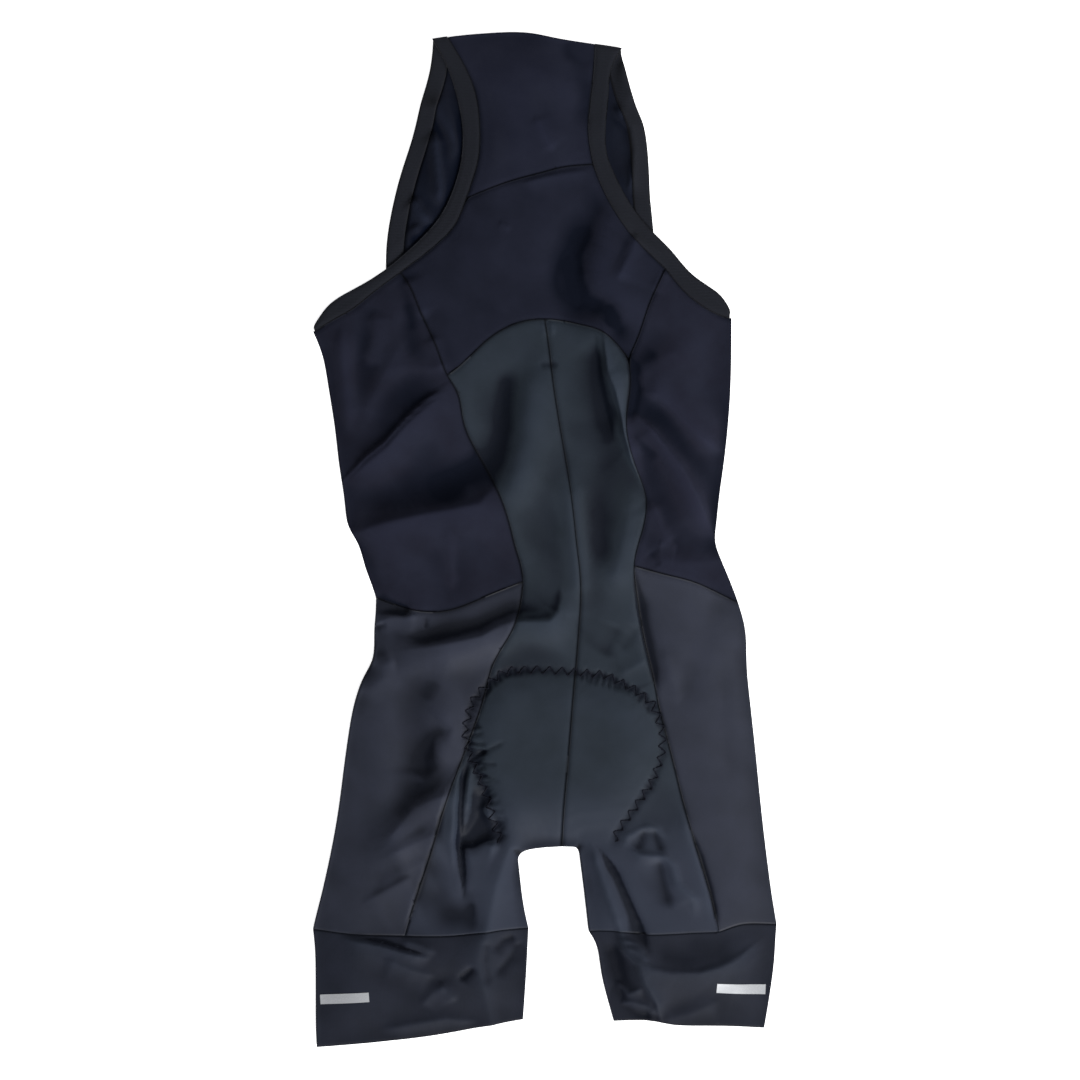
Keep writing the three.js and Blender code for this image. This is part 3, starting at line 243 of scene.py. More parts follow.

# Painted shade that lies in the pockets and along the tucks of the cloth, where light hardly reaches:
# it darkens the knit's colour.
# The rows are like the creases', with the depth of the painted shade in place of the rise
paintedPocketShade = {
    "bandCore": (1.0, 2.5, 13, 1.6, [(-58, 37), (-89, 31), (-125, 21), (-172, 11)]),
    "bandEnd": (0.7, 13, 13, 2, [(-60, 68), (-74, 62), (-90, 52)]),
    "lap": (0.9, 1.5, 4, 1.6,
        [(-82, 150), (-114, 125), (-128, 112), (-147, 90.5), (-164, 77.5), (-196, 48)]),
    "lapAbove": (0.35, 17, 17, 2, [(-128, 150), (-145, 125), (-156, 104)]),
    "sideHigh": (0.35, 9, 9, 2, [(-160, 208), (-162, 178)]),
    "besideYoke": (0.6, 6, 5, 1.6, [(-132, 222), (-124, 206), (-122, 192)]),
    "centreHigh": (0.45, 10, 9, 2.4, [(-32, 144), (-34, 115), (-42, 75)]),
    "tuck": (1.2, 3.4, 5, 1.6,
        [(-135, -95), (-110, -96), (-90, -93), (-60, -86), (-26, -74), (6, -71)]),
    "tuckWide": (0.6, 9, 9, 2, [(-134, -92), (-112, -93), (-94, -92)]),
    "tuckHook": (1.6, 4, 4, 1.8, [(-30, -72), (-5, -73), (8, -70), (13, -58), (14, -40)]),
    "centreLow": (0.25, 9, 9, 2, [(16, -32), (14, -5), (12, 22)]),
    "waist": (2.2, 6, 6, 1.8, [(-160, -62), (-144, -66), (-124, -70)]),
    "hip": (0.9, 6, 6, 1.8, [(-158, -106), (-143, -109)]),
    "hipEdge": (0.6, 9, 9, 2, [(-160, -122), (-172, -148)]),
    "legTop": (0.6, 8, 8, 2, [(-100, -130), (-110, -152)]),
    "leg": (1.1, 7, 7, 1.6, [(-90, -172), (-106, -184), (-112, -206), (-108, -228)]),
    "legMiddle": (1.5, 12, 12, 2, [(-102, -205), (-104, -235)]),
    "legFoot": (1.0, 5, 8, 1.6, [(-102, -244), (-118, -250), (-136, -268)]),
    "streakOne": (0.8, 5, 5, 1.8, [(-106, -266), (-126, -275), (-144, -288)]),
    "streakTwo": (0.35, 6, 6, 2, [(-120, -294), (-142, -307)]),
    "streakThree": (1.0, 3.4, 3.4, 1.8, [(-122, -309), (-145, -323), (-164, -332)]),
    "padPocket": (3.0, 9, 8, 2.2, [(-58, -254), (-61, -266), (-66, -277)]),
    "padPocketFoot": (1.5, 4, 6, 1.8, [(-76, -286), (-62, -279), (-46, -275)]),
    "secondLine": (1.1, 2.4, 2.4, 1.6,
        [(-74, -215), (-78, -250), (-78.5, -276), (-76, -301), (-73.6, -338)]),
    "legSeam": (1.3, 2.8, 2.4, 1.6,
        [(-76, -203), (-89, -226), (-99, -268), (-112, -312), (-128, -360)]),
    "knee": (0.4, 11, 11, 2, [(-92, -350), (-72, -346)]),
    "kneeSpot": (0.6, 3.4, 3.4, 1.8, [(-66, -336), (-70, -354)]),
    "cuff": (1.2, 1.7, 2, 1.6, [(-176, -370.5), (-150, -373.5), (-130, -379.5), (-106, -386)]),
    "cuffSpot": (0.9, 2.6, 2.6, 1.6, [(-79, -407), (-66, -399)]),
    "padFoldHigh": (0.8, 2, 2, 1.6, [(-72, -208), (-62, -201), (-50, -194), (-33, -185)]),
    "padFoldMiddle": (0.7, 1.8, 1.8, 1.6, [(-66, -207), (-54, -208), (-42, -208)]),
    "padFoldLow": (0.7, 1.8, 1.8, 1.6, [(-64, -216), (-53, -220), (-40, -225)]),
    "yoke": (1.0, 8, 10, 1.7, [(46, 296), (36, 278), (26, 258), (30, 236), (36, 216)]),
    "yokeSide": (0.8, 3, 3.4, 1.6, [(81, 284), (70, 262), (58, 238)]),
    "arch": (1.3, 8, 8, 2, [(60, 222), (64, 208), (57, 196)]),
    "pleat": (1.3, 2, 6, 1.6, [(54, 204), (57, 150), (64.5, 128), (71, 98)]),
    "pleatFoot": (0.6, 7, 7, 2, [(56, 112), (60, 86)]),
    "seamHigh": (1.2, 3, 3, 1.6, [(79, 178), (81, 146), (77, 120), (75, 104)]),
    "wedge": (1.3, 8, 8, 1.8, [(80, 155), (92, 163), (108, 175)]),
    "sideBand": (0.2, 13, 4, 1.8, [(98, 130), (122, 100), (138, 66), (152, 30)]),
    "sideNotch": (0.9, 4, 6, 1.8, [(76, 102), (92, 86), (110, 74)]),
    "centreSide": (0.2, 9, 9, 2, [(80, 54), (77, 28)]),
    "centreMiddle": (0.15, 8, 8, 2, [(46, 30), (50, 10)]),
    "hipSeam": (1.2, 6, 2, 1.6, [(82, -20), (85, -47), (91, -79), (98, -112), (105, -136)]),
    "padCornerOne": (0.8, 2, 2, 1.6, [(76, -143), (90, -137), (103, -131)]),
    "padCornerTwo": (0.8, 2, 2, 1.6, [(74, -161), (86, -150), (98, -140)]),
    "padCornerThree": (0.8, 2, 2, 1.6, [(80, -173), (91, -164), (101, -157)]),
    "kneeWedge": (0.5, 6, 6, 2.2, [(52, -289), (65, -319), (77, -346), (84, -370)]),
    "kneeLine": (0.8, 2, 3, 1.6, [(50, -282), (64, -306), (77, -333), (97, -380)]),
    "turn": (0.5, 9, 9, 2.2, [(70, -388), (72, -418)]),
    "smile": (0.8, 1.6, 2.2, 1.6, [(86, -392), (104, -399), (124, -402), (142, -400), (162, -391)]),
    "innerEdge": (0.9, 5, 5, 1.8, [(-80, 412), (-76, 360), (-84, 322), (-99, 300)]),
    "innerFoot": (1.3, 8, 6, 1.8, [(-128, 276), (-112, 284), (-100, 292)]),
    "innerFold": (0.6, 3, 3, 1.8, [(-104, 402), (-96, 366)]),
    "innerRight": (0.9, 3, 3, 1.6, [(60, 394), (76, 384), (82, 359), (78, 326)]),
}

# Folds of the front straps, where they show through the armholes
strapFolds = {
    "leftRidge": (7.0, 9, 9, 1.5, [(-102, 402), (-92, 386), (-78, 366)]),
    "leftTrough": (-2.4, 9, 9, 1.8, [(-106, 398), (-86, 372)]),
    "leftTongue": (6.4, 4, 7, 1.3, [(-103, 384), (-100, 350), (-95, 304)]),
    "leftLow": (5.6, 4, 6, 1.3, [(-125, 320), (-116, 305), (-102, 290)]),
    "leftFoot": (4.6, 4, 6, 1.3, [(-122, 294), (-115, 284), (-106, 276)]),
    "rightArc": (4.6, 8, 3, 1.3,
        [(58, 406), (70, 397), (80, 384), (83, 362), (81, 336), (74, 314)]),
    "rightTop": (3.4, 9, 9, 1.6, [(72, 440), (80, 415)]),
}

# How the far layer of cloth, the front straps, lies where the armholes show it
strapLayer = {
    "overlap": 0.9,
    "bindingOverlap": 0.1,
    "lift": 0.8,
    "clearance": 1,  # the folds start to rise this far from the back layer
    "clearReach": 11,
    "upperFrom": 0.7,
    "dip": 0.9,
    "bindingDip": 0.4,
    "dipReach": 2,
    "shadeReach": 1.3,
}

padEdge = {
    "path": [(-40.5, -281), (-46, -268), (-51, -247), (-58.6, -226), (-69.5, -201), (-74, -178),
             (-68, -152), (-54, -135), (-36, -122), (-5, -121), (26, -123), (57, -126), (85, -140),
             (102, -154), (110, -180), (109, -201), (100, -226), (85, -248), (68, -271), (64.6, -281)],
    "step": 0.7,
    "roundings": 30,
    "period": 11.6,
    "swing": 3.9,
    "thread": 0.6,
    "stitchesPerSide": 3,
    "sunk": 0.25,  # how far the thread lies in the cloth at its lowest
    "stitchRise": 0.5,
    "groove": 0.6,
    "grooveReach": 5,
    "nearby": 26,
    "pull": 0.5,  # how deep each stitch sinks into the cloth
    "pullReach": 1.5,
    "gather": 1.3,  # small folds that the stitching draws towards the middle of the pad
    "gatherReach": 1.7,
    "gatherTail": 4,
    "gatherFull": 9,  # shorter gathers are shallower
    "gatherLean": 0.35,
    "gatherVariety": 0.3,
    "gatherSoftness": 1.5,
    "gatherLength": [(0.0, 9), (0.2, 15), (0.3, 12), (0.36, 5), (0.52, 4), (0.6, 13), (0.68, 9),
                     (0.76, 4), (1, 6)],
}


def selectOnly(piece):
    bpy.ops.object.select_all(action="DESELECT")
    piece.select_set(True)
    bpy.context.view_layer.objects.active = piece


def lineField(path, x, y):
    # distance to a line, the side of it (1 left, -1 right, and between the two beyond its ends), and
    # the share of the way along
    best = np.full(len(x), 1e9)
    side = np.ones(len(x))
    along = np.zeros(len(x))
    steps = len(path) - 1
    for i in range(steps):
        (ax, ay), (bx, by) = path[i], path[i + 1]
        dx, dy = bx - ax, by - ay
        t = np.clip(((x - ax) * dx + (y - ay) * dy) / (dx * dx + dy * dy), 0, 1)
        far = np.hypot(x - ax - t * dx, y - ay - t * dy)
        nearer = far < best
        best[nearer] = far[nearer]
        across = (dx * (y - ay) - dy * (x - ax)) / math.hypot(dx, dy)
        side[nearer] = (across / np.maximum(far, 0.001))[nearer]
        along[nearer] = ((i + t) / steps)[nearer]
    return best, side, along


def smoothStep(t):
    t = np.clip(t, 0, 1)
    return t * t * (3 - 2 * t)


foldEnds = {"taper": 4.5, "wide": 9, "narrowest": 0.35}


def foldRise(folds, x, y):
    narrowest = foldEnds["narrowest"]
    total = np.zeros(len(x))
    for rise, leftReach, rightReach, softness, path in folds.values():
        far, side, along = lineField(path, x, y)
        ends = smoothStep(np.minimum(along, 1 - along) * foldEnds["taper"])
        if min(leftReach, rightReach) >= foldEnds["wide"]:
            ends = 1  # a wide hollow ends by its own reach
        reach = rightReach + (leftReach - rightReach) * smoothStep(side / 2 + 0.5)
        reach = reach * (narrowest + (1 - narrowest) * ends)
        total += rise * ends * np.exp(-((far / reach) ** softness))
    return total


def softRipple(x, y):
    # broad, shallow unevenness that every laid cloth has
    return (np.sin(x / 19 + 1.3 * np.sin(y / 31)) * np.sin(y / 23 + 0.9 * np.sin(x / 27))
            + 0.5 * np.sin(x / 9 + y / 13 + 1.7 * np.sin(y / 17)))


def evenly(path, step):
    corners = np.array(path, float)
    lengths = np.concatenate([[0], np.cumsum(np.hypot(*np.diff(corners, axis=0).T))])
    at = np.arange(0, lengths[-1], step)
    return np.stack([np.interp(at, lengths, corners[:, k]) for k in (0, 1)], axis=1)


def padLines():
    # the stitching's own zigzag, and the small folds that run in from its teeth
    line = evenly(padEdge["path"], padEdge["step"])
    for _ in range(padEdge["roundings"]):
        line[1:-1] = (line[:-2] + 2 * line[1:-1] + line[2:]) / 4
    ahead = np.gradient(line, axis=0)
    ahead /= np.linalg.norm(ahead, axis=1)[:, None]
    across = np.stack([-ahead[:, 1], ahead[:, 0]], axis=1)
    phase = np.arange(len(line)) * padEdge["step"] / padEdge["period"]
    swing = (2 * np.abs(2 * (phase % 1) - 1) - 1) * padEdge["swing"]
    zigzag = line + across * swing[:, None]
    gathers = {}
    shares, lengths = zip(*padEdge["gatherLength"])
    tooth = round(padEdge["period"] / padEdge["step"] / 2)
    variety = padEdge["gatherVariety"]
    reach = padEdge["gatherReach"]
    for i in range(tooth // 2, len(line), tooth):
        lean = padEdge["gatherLean"] * math.sin(i * 1.7)
        inward = -across[i] + lean * ahead[i]
        length = np.interp(i / len(line), shares, lengths) * (1 + variety * math.sin(i * 2.3))
        fullness = min(1, length / padEdge["gatherFull"])
        depth = -padEdge["gather"] * fullness * (1 + variety * math.sin(i * 3.1))
        ends = [line[i] - inward * padEdge["gatherTail"], line[i] + inward * length]
        gathers[i] = (depth, reach, reach, padEdge["gatherSoftness"], ends)
    return zigzag, phase, gathers


def readPoints(piece):
    points = np.empty(len(piece.data.vertices) * 3)
    piece.data.vertices.foreach_get("co", points)
    return points.reshape(-1, 3) / mm


def writePoints(piece, points):
    piece.data.vertices.foreach_set("co", (points * mm).ravel())
    piece.data.update()


def meanField(x, y, values, reach):
    # the mean of the values around every cell of a grid that lies over the garment
    grid = cloth["grid"]
    size = (grid["rows"], grid["columns"])
    column = ((x - grid["left"]) / grid["cell"]).astype(int)
    row = ((y - grid["low"]) / grid["cell"]).astype(int)
    total, count = np.zeros(size), np.zeros(size)
    np.add.at(total, (row, column), values)
    np.add.at(count, (row, column), 1)
    waves = np.fft.fftfreq(size[0])[:, None] ** 2 + np.fft.rfftfreq(size[1])[None] ** 2
    kernel = np.exp(-2 * (math.pi * reach / grid["cell"]) ** 2 * waves)
    total, count = (np.fft.irfft2(np.fft.rfft2(g) * kernel, s=size) for g in (total, count))
    return total / np.maximum(count, 0.001)


def fieldAt(field, x, y):
    grid = cloth["grid"]
    across = (x - grid["left"]) / grid["cell"] - 0.5
    up = (y - grid["low"]) / grid["cell"] - 0.5
    column, row = across.astype(int), up.astype(int)
    s, t = across - column, up - row
    lower = field[row, column] * (1 - s) + field[row, column + 1] * s
    upper = field[row + 1, column] * (1 - s) + field[row + 1, column + 1] * s
    return lower * (1 - t) + upper * t


def readNormals(piece):
    normals = np.empty(len(piece.data.vertices) * 3)
    piece.data.vertices.foreach_get("normal", normals)
    return normals.reshape(-1, 3)


def topsOf(names, lowest=2.0):
    # the points of these pieces that look up and lie above a height
    found = []
    for name in names:
        points = readPoints(pieces[name])
        found.append(points[(readNormals(pieces[name])[:, 2] > 0.3) & (points[:, 2] > lowest)])
    return np.concatenate(found).T


def selectFacesUp(piece, least):
    # selects the faces that look up at the viewer
    polygons = piece.data.polygons
    normals = np.empty(len(polygons) * 3)
    polygons.foreach_get("normal", normals)
    chosen = normals.reshape(-1, 3)[:, 2] > least
    polygons.foreach_set("select", chosen)


def clothFromNode(node, fine):
    piece = bpy.data.objects.new(node + "_cloth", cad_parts[node].data.copy())
    bpy.context.scene.collection.objects.link(piece)
    piece.data.materials.clear()
    selectOnly(piece)
    bpy.ops.object.mode_set(mode="EDIT")
    bpy.ops.mesh.select_all(action="SELECT")
    bpy.ops.mesh.remove_doubles(threshold=0.01 * mm)
    bpy.ops.mesh.tris_convert_to_quads(
        face_threshold=math.radians(50), shape_threshold=math.radians(80))
    bpy.ops.mesh.select_all(action="DESELECT")
    bpy.ops.mesh.select_mode(type="EDGE")
    bpy.ops.mesh.edges_select_sharp(sharpness=math.radians(cloth["sharpAngle"]))
    bpy.ops.transform.edge_crease(value=1.0)
    bpy.ops.object.mode_set(mode="OBJECT")
    smooth = piece.modifiers.new("smooth", "SUBSURF")
    smooth.levels = smooth.render_levels = cloth["subdivisions"]
    bpy.ops.object.modifier_apply(modifier=smooth.name)
    if fine:
        bpy.ops.object.mode_set(mode="EDIT")
        bpy.ops.mesh.select_mode(type="FACE")
        bpy.ops.mesh.select_all(action="DESELECT")
        bpy.ops.object.mode_set(mode="OBJECT")
        selectFacesUp(piece, 0.2)
        bpy.ops.object.mode_set(mode="EDIT")
        bpy.ops.mesh.subdivide(number_cuts=1, smoothness=0)
        bpy.ops.object.mode_set(mode="OBJECT")
    return piece


def rimDistance(piece, points, lowest):
    # how far each point is, in plan, from the panel's cut edges that lie above the lowest height
    edges = piece.data.edges
    crease = np.zeros(len(edges))
    piece.data.attributes["crease_edge"].data.foreach_get("value", crease)
    ends = np.empty(len(edges) * 2, int)
    edges.foreach_get("vertices", ends)
    rim = np.unique(ends.reshape(-1, 2)[crease > 0.5])
    rim = rim[points[rim, 2] > lowest]
    tree = KDTree(len(rim))
    for k in rim:
        tree.insert((points[k][0], points[k][1], 0), int(k))
    tree.balance()
    return np.array([tree.find((p[0], p[1], 0))[2] for p in points])


def closeSeams(piece, points, amount):
    # grows the piece in plan at its cut edges, so that it meets its neighbour
    outward = readNormals(piece)[:, :2]
    length = np.hypot(*outward.T)
    steep = length > 0.3
    points[steep, :2] += outward[steep] / length[steep, None] * amount


padArea = {"middle": 18, "halfWidth": 110, "top": -105, "low": -300}


def padHeights(x, y):
    # the top of the pad under each point, or the table
    heights = np.zeros(len(x))
    within = (abs(x - padArea["middle"]) < padArea["halfWidth"])
    within &= (y < padArea["top"]) & (y > padArea["low"])
    for i in np.flatnonzero(within):
        hit = padTree.ray_cast(Vector((x[i] * mm, y[i] * mm, 0.1)), Vector((0, 0, -1)))[0]
        if hit is not None:
            heights[i] = hit.z / mm
    return heights


def shapeBack(piece):
    points = readPoints(piece)
    closeSeams(piece, points, cloth["overlap"])
    x, y, z = points.T.copy()
    looksUp = readNormals(piece)[:, 2] > 0.1
    onBack = np.clip((z - cloth["backFrom"]) / cloth["backFade"], 0, 1)
    rim = rimDistance(piece, points, cloth["rimFrom"])
    far = lineField(padEdge["path"], x, y)[0]
    groove = -padEdge["groove"] * np.exp(-((far / padEdge["grooveReach"]) ** 2))
    near = far < padEdge["nearby"]
    if near.any():
        toThread = lineField(zigzag[::4], x[near], y[near])[0]
        groove[near] -= padEdge["pull"] * np.exp(-((toThread / padEdge["pullReach"]) ** 2))
        groove[near] += foldRise(gathers, x[near], y[near])
    rise = foldRise(creases, x, y) + cloth["ripple"] * softRipple(x, y) + groove
    outerEdge = np.clip((z - cloth["rimFrom"]) / cloth["rimFade"], 0, 1)
    if not piece.name.startswith("binding"):
        calming = fieldAt(calmField, x, y) - fieldAt(rawField, x, y)
        rise += np.clip(calming, -cloth["mostCalming"], cloth["mostCalming"])
    points[:, 2] += rise * onBack * outerEdge
    flatness = 1 - cloth["bonding"] * smoothStep((cloth["cuffTop"] - y) / cloth["cuffFade"])
    dip = -cloth["seamDip"] * flatness * np.exp(-((rim / cloth["seamReach"]) ** 2))
    points[:, 2] += np.where(looksUp, dip * onBack, 0)
    lowest = np.where(looksUp, cloth["lowestOuter"], cloth["lowestInner"])
    overPad = np.where(looksUp, cloth["overPadOuter"], cloth["overPadInner"])
    lowest = np.maximum(lowest, padHeights(x, y) + overPad)
    raised = np.maximum(points[:, 2], np.minimum(lowest, z))
    points[:, 2] = np.where(onBack > 0.3, raised, points[:, 2])
    writePoints(piece, points)
    # painted shade along the cut edges, weaker where the seams are bonded flat
    return (0.5 + 0.5 * flatness) * np.exp(-((rim / cloth["seamShadeReach"]) ** 2))


def shapeFrontStrap(piece, backTree):
    # the far layer only rises where nothing of the back layer lies over it
    points = readPoints(piece)
    isStrap = not piece.name.startswith("binding")
    closeSeams(piece, points, strapLayer["overlap"] if isStrap else strapLayer["bindingOverlap"])
    x, y, z = points.T.copy()
    up = Vector((0, 0, 1))
    clear = np.array([backTree.ray_cast(Vector(p) * mm, up)[0] is None for p in points])
    room = np.zeros(len(points))
    for i in np.flatnonzero(clear):
        room[i] = backTree.find_nearest(Vector((points[i][0], points[i][1], 2)) * mm)[3] / mm
    freedom = smoothStep((room - strapLayer["clearance"]) / strapLayer["clearReach"])
    points[:, 2] += np.maximum(foldRise(strapFolds, x, y) + strapLayer["lift"], 0) * freedom
    rim = rimDistance(piece, points, -1)
    dip = strapLayer["dip"] if isStrap else strapLayer["bindingDip"]
    dips = dip * np.exp(-((rim / strapLayer["dipReach"]) ** 2))
    points[:, 2] -= np.where(z > strapLayer["upperFrom"], dips, 0)
    writePoints(piece, points)
    # painted shade along the far layer's cut edges
    return np.exp(-((rim / strapLayer["shadeReach"]) ** 2))


def storeValues(piece, name, values):
    stored = piece.data.attributes.new(name, "FLOAT", "POINT")
    stored.data.foreach_set("value", values)


class Sock:
    # a socket that takes part in sums
    def __init__(self, shader, socket):
        self.shader = shader
        self.socket = socket

    def maths(self, operation, other=0.0):
        return self.shader.node("ShaderNodeMath", {"operation": operation}, {0: self, 1: other})

    def __add__(self, other):
        return self.maths("ADD", other)

    def __sub__(self, other):
        return self.maths("SUBTRACT", other)

    def __mul__(self, other):
        return self.maths("MULTIPLY", other)

    def sine(self):
        return self.maths("SINE")

    def clamped(self):
        return self.maths("MINIMUM", 1.0).maths("MAXIMUM", 0.0)


class Shader:
    def __init__(self, name):
        self.material = bpy.data.materials.new(name)
        self.material.use_nodes = True
        self.nodes = self.material.node_tree.nodes
        self.links = self.material.node_tree.links
        self.principled = self.nodes["Principled BSDF"]

    def node(self, kind, settings=None, values=None, output=0):
        made = self.nodes.new(kind)
        for name, value in (settings or {}).items():
            if name == "stops":
                while len(made.color_ramp.elements) < len(value):
                    made.color_ramp.elements.new(0.5)
                for element, (place, shade) in zip(made.color_ramp.elements, value):
                    element.position = place
                    element.color = (shade, shade, shade, 1)
            else:
                setattr(made, name, value)
        for key, value in (values or {}).items():
            self.put(made.inputs[key], value)
        return Sock(self, made.outputs[output])

    def put(self, socket, value):
        if isinstance(value, Sock):
            self.links.new(value.socket, socket)
        else:
            socket.default_value = value

    def attribute(self, name):
        return self.node("ShaderNodeAttribute", {"attribute_name": name}, output=2)

    def noise(self, place, scale, detail=2.0):
        values = {"Vector": place, "Scale": scale, "Detail": detail}
        return self.node("ShaderNodeTexNoise", values=values)

    def bump(self, strength, distance, height):
        values = {"Strength": strength, "Distance": distance * mm, "Height": height}
        return self.node("ShaderNodeBump", values=values)

    def mixed(self, factor, first, second, blend="MIX"):
        made = self.nodes.new("ShaderNodeMix")
        made.data_type = "RGBA"
        made.blend_type = blend
        self.put(made.inputs[0], factor)
        self.put(made.inputs[6], first)
        self.put(made.inputs[7], second)
        return Sock(self, made.outputs[2])

    def finish(self, **values):
        for name, value in values.items():
            self.put(self.principled.inputs[name], value)
        return self.material


def linear(red, green, blue):
    # a colour as seen, in 0 to 255, to the linear one that shaders use
    def channel(value):
        value /= 255
        return value / 12.92 if value <= 0.04045 else ((value + 0.055) / 1.055) ** 2.4
    return (channel(red), channel(green), channel(blue), 1)


# Each look's crest colour is painted light on the crests of the cloth; the centre's low colour is
# painted light on the inner legs
looks = {
    "strap": {"gloss": 0.05, "colour": (20, 22, 33), "light": (24, 26, 37),
        "crest": (34, 36, 53), "roughness": 0.86, "wale": 0.9, "depth": 0.10},
    "yoke": {"gloss": 0.05, "colour": (18, 20, 30), "light": (22, 24, 35),
        "crest": (31, 34, 49), "roughness": 0.86, "wale": 0.9, "depth": 0.10},
    "side": {"gloss": 0.05, "colour": (20, 21, 31), "light": (24, 26, 37),
        "crest": (34, 36, 51), "roughness": 0.84, "wale": 1.0, "depth": 0.10},
    "centre": {"gloss": 0.08, "colour": (26, 32, 39), "light": (30, 36, 44), "low": (34, 38, 49),
        "crest": (42, 49, 61), "roughness": 0.6, "wale": 0.7, "depth": 0.06},
    "leg": {"gloss": 0.12, "colour": (28, 31, 41), "light": (32, 35, 46),
        "crest": (45, 49, 63), "roughness": 0.58, "wale": 0.7, "depth": 0.06},
    "cuff": {"gloss": 0.08, "colour": (20, 23, 32), "light": (24, 27, 37),
        "crest": (36, 42, 53), "roughness": 0.66, "wale": 1.3, "depth": 0.12},
    "inside": {"gloss": 0.03, "colour": (14, 16, 24), "light": (17, 20, 29),
        "crest": (23, 27, 39), "roughness": 0.9, "wale": 1.0, "depth": 0.10},
    "pad": {"gloss": 0.06, "colour": (30, 33, 43), "light": (34, 37, 48),
        "crest": (46, 50, 65), "roughness": 0.95, "wale": 1.4, "depth": 0.12},
}


# What all the knits share
knit = {
    "skew": 0.8,
    "fuzzScale": 900.0,
    "mottleScale": 38.0,
    "lowLightSlope": -12,  # painted light: the centre panels turn lighter below the pad, where the inner legs catch more light
    "lowLightStart": 2.6,
    # painted shade: hollows and pockets are darkened towards this colour
    "hollow": (3, 6, 16),
    "hollowShadeGain": -0.85,
    "hollowShadeMost": 0.88,
    # painted light on the crests
    "crestGain": 0.5,
    "crestMost": 0.3,
    # painted shade along the seams
    "seam": (5, 6, 8),
    "seamWeight": 0.8,
    "bumpDistance": 0.12,
    "sheen": 0.012,
    "sheenRoughness": 0.45,
    "sheenTint": (0.55, 0.6, 0.75, 1),
}


def makeKnit(name, look):
    shader = Shader(name)
    place = shader.node("ShaderNodeTexCoord", output=3)
    split = shader.node("ShaderNodeSeparateXYZ", values={0: place})
    x = split
    y = Sock(shader, split.socket.node.outputs[1])
    turn = 2 * math.pi / (look["wale"] * mm)
    wales = (x * turn + (y * (turn * knit["skew"])).sine() * 0.7).sine() * 0.5 + 0.5
    fuzz = shader.noise(place, knit["fuzzScale"], 3.0)
    mottle = shader.noise(place, knit["mottleScale"], 4.0)
    edge = shader.attribute("edge")
    spread = shader.node("ShaderNodeValToRGB", {"stops": [(0.32, 0), (0.68, 1)]}, {0: mottle})
    base = shader.mixed(spread, linear(*look["colour"]), linear(*look["light"]))
    grain = (wales * 0.10 + fuzz * 0.22 + 0.82).clamped()
    grey = shader.node("ShaderNodeCombineColor", values={0: grain, 1: grain, 2: grain})
    base = shader.mixed(1.0, base, grey, "MULTIPLY")
    # painted shade and painted light, from the cloth's own heights and the pocket table
    relief = shader.attribute("relief")
    # painted shade in the hollows and pockets
    hollow = (relief * knit["hollowShadeGain"]).clamped() * knit["hollowShadeMost"]
    # painted light on the crests
    crest = (relief * knit["crestGain"]).clamped() * knit["crestMost"]
    # painted light on the inner legs below the pad
    if "low" in look:
        lowLightShare = (y * knit["lowLightSlope"] - knit["lowLightStart"]).clamped()
        base = shader.mixed(lowLightShare, base, linear(*look["low"]))
    base = shader.mixed(hollow, base, linear(*knit["hollow"]))
    base = shader.mixed(crest, base, linear(*look["crest"]))
    # painted shade along the seams
    base = shader.mixed((edge * knit["seamWeight"]).clamped(), base, linear(*knit["seam"]))
    height = wales * 0.6 + fuzz * 0.5
    bump = shader.bump(look["depth"] * 3, knit["bumpDistance"], height)
    roughness = fuzz * 0.12 + (look["roughness"] - 0.06)
    shader.principled.inputs["Sheen Weight"].default_value = knit["sheen"]
    shader.principled.inputs["Sheen Roughness"].default_value = knit["sheenRoughness"]
    shader.principled.inputs["Sheen Tint"].default_value = knit["sheenTint"]
    shader.principled.inputs["Specular IOR Level"].default_value = look["gloss"]
    return shader.finish(**{"Base Color": base, "Roughness": roughness, "Normal": bump})


def makeBinding():
    shader = Shader("binding_elastic")
    place = shader.node("ShaderNodeTexCoord", output=3)
    ribSpacing = 1.6
    ribs = (shader.attribute("lengthwise") * (2 * math.pi / ribSpacing)).sine() * 0.5 + 0.5
    fuzz = shader.noise(place, 700.0, 3.0)
    edge = shader.attribute("edge")
    base = shader.mixed(fuzz, linear(12, 14, 20), linear(18, 20, 27))
    # painted shade along the binding's edges
    base = shader.mixed((edge * 0.5).clamped(), base, linear(6, 6, 7))
    bump = shader.bump(0.5, 0.25, ribs * 0.7 + fuzz * 0.4)
    shader.principled.inputs["Sheen Weight"].default_value = 0.03
    shader.principled.inputs["Specular IOR Level"].default_value = 0.12
    return shader.finish(**{"Base Color": base, "Roughness": fuzz * 0.1 + 0.8, "Normal": bump})


def makeThread():
    shader = Shader("stitch_thread")
    place = shader.node("ShaderNodeTexCoord", output=3)
    fuzz = shader.noise(place, 1500.0)
    base = shader.mixed(fuzz, linear(9, 10, 16), linear(17, 19, 28))
    shader.principled.inputs["Specular IOR Level"].default_value = 0.05
    return shader.finish(**{"Base Color": base, "Roughness": fuzz * 0.2 + 0.6})


def makeReflective():
    shader = Shader("reflective_print")
    place = shader.node("ShaderNodeTexCoord", output=3)
    grain = shader.node("ShaderNodeTexVoronoi", values={"Vector": place, "Scale": 1400.0})
    base = shader.mixed(grain, linear(128, 130, 134), linear(146, 148, 151))
    bump = shader.bump(0.25, 0.08, grain)
    roughness = grain * 0.2 + 0.4
    shader.principled.inputs["Metallic"].default_value = 0.2
    return shader.finish(**{"Base Color": base, "Roughness": roughness, "Normal": bump})


materials = {name: makeKnit(name + "_knit", look) for name, look in looks.items()}
materials["binding"] = makeBinding()
materials["thread"] = makeThread()
materials["reflective"] = makeReflective()
print("materials made:", len(materials))

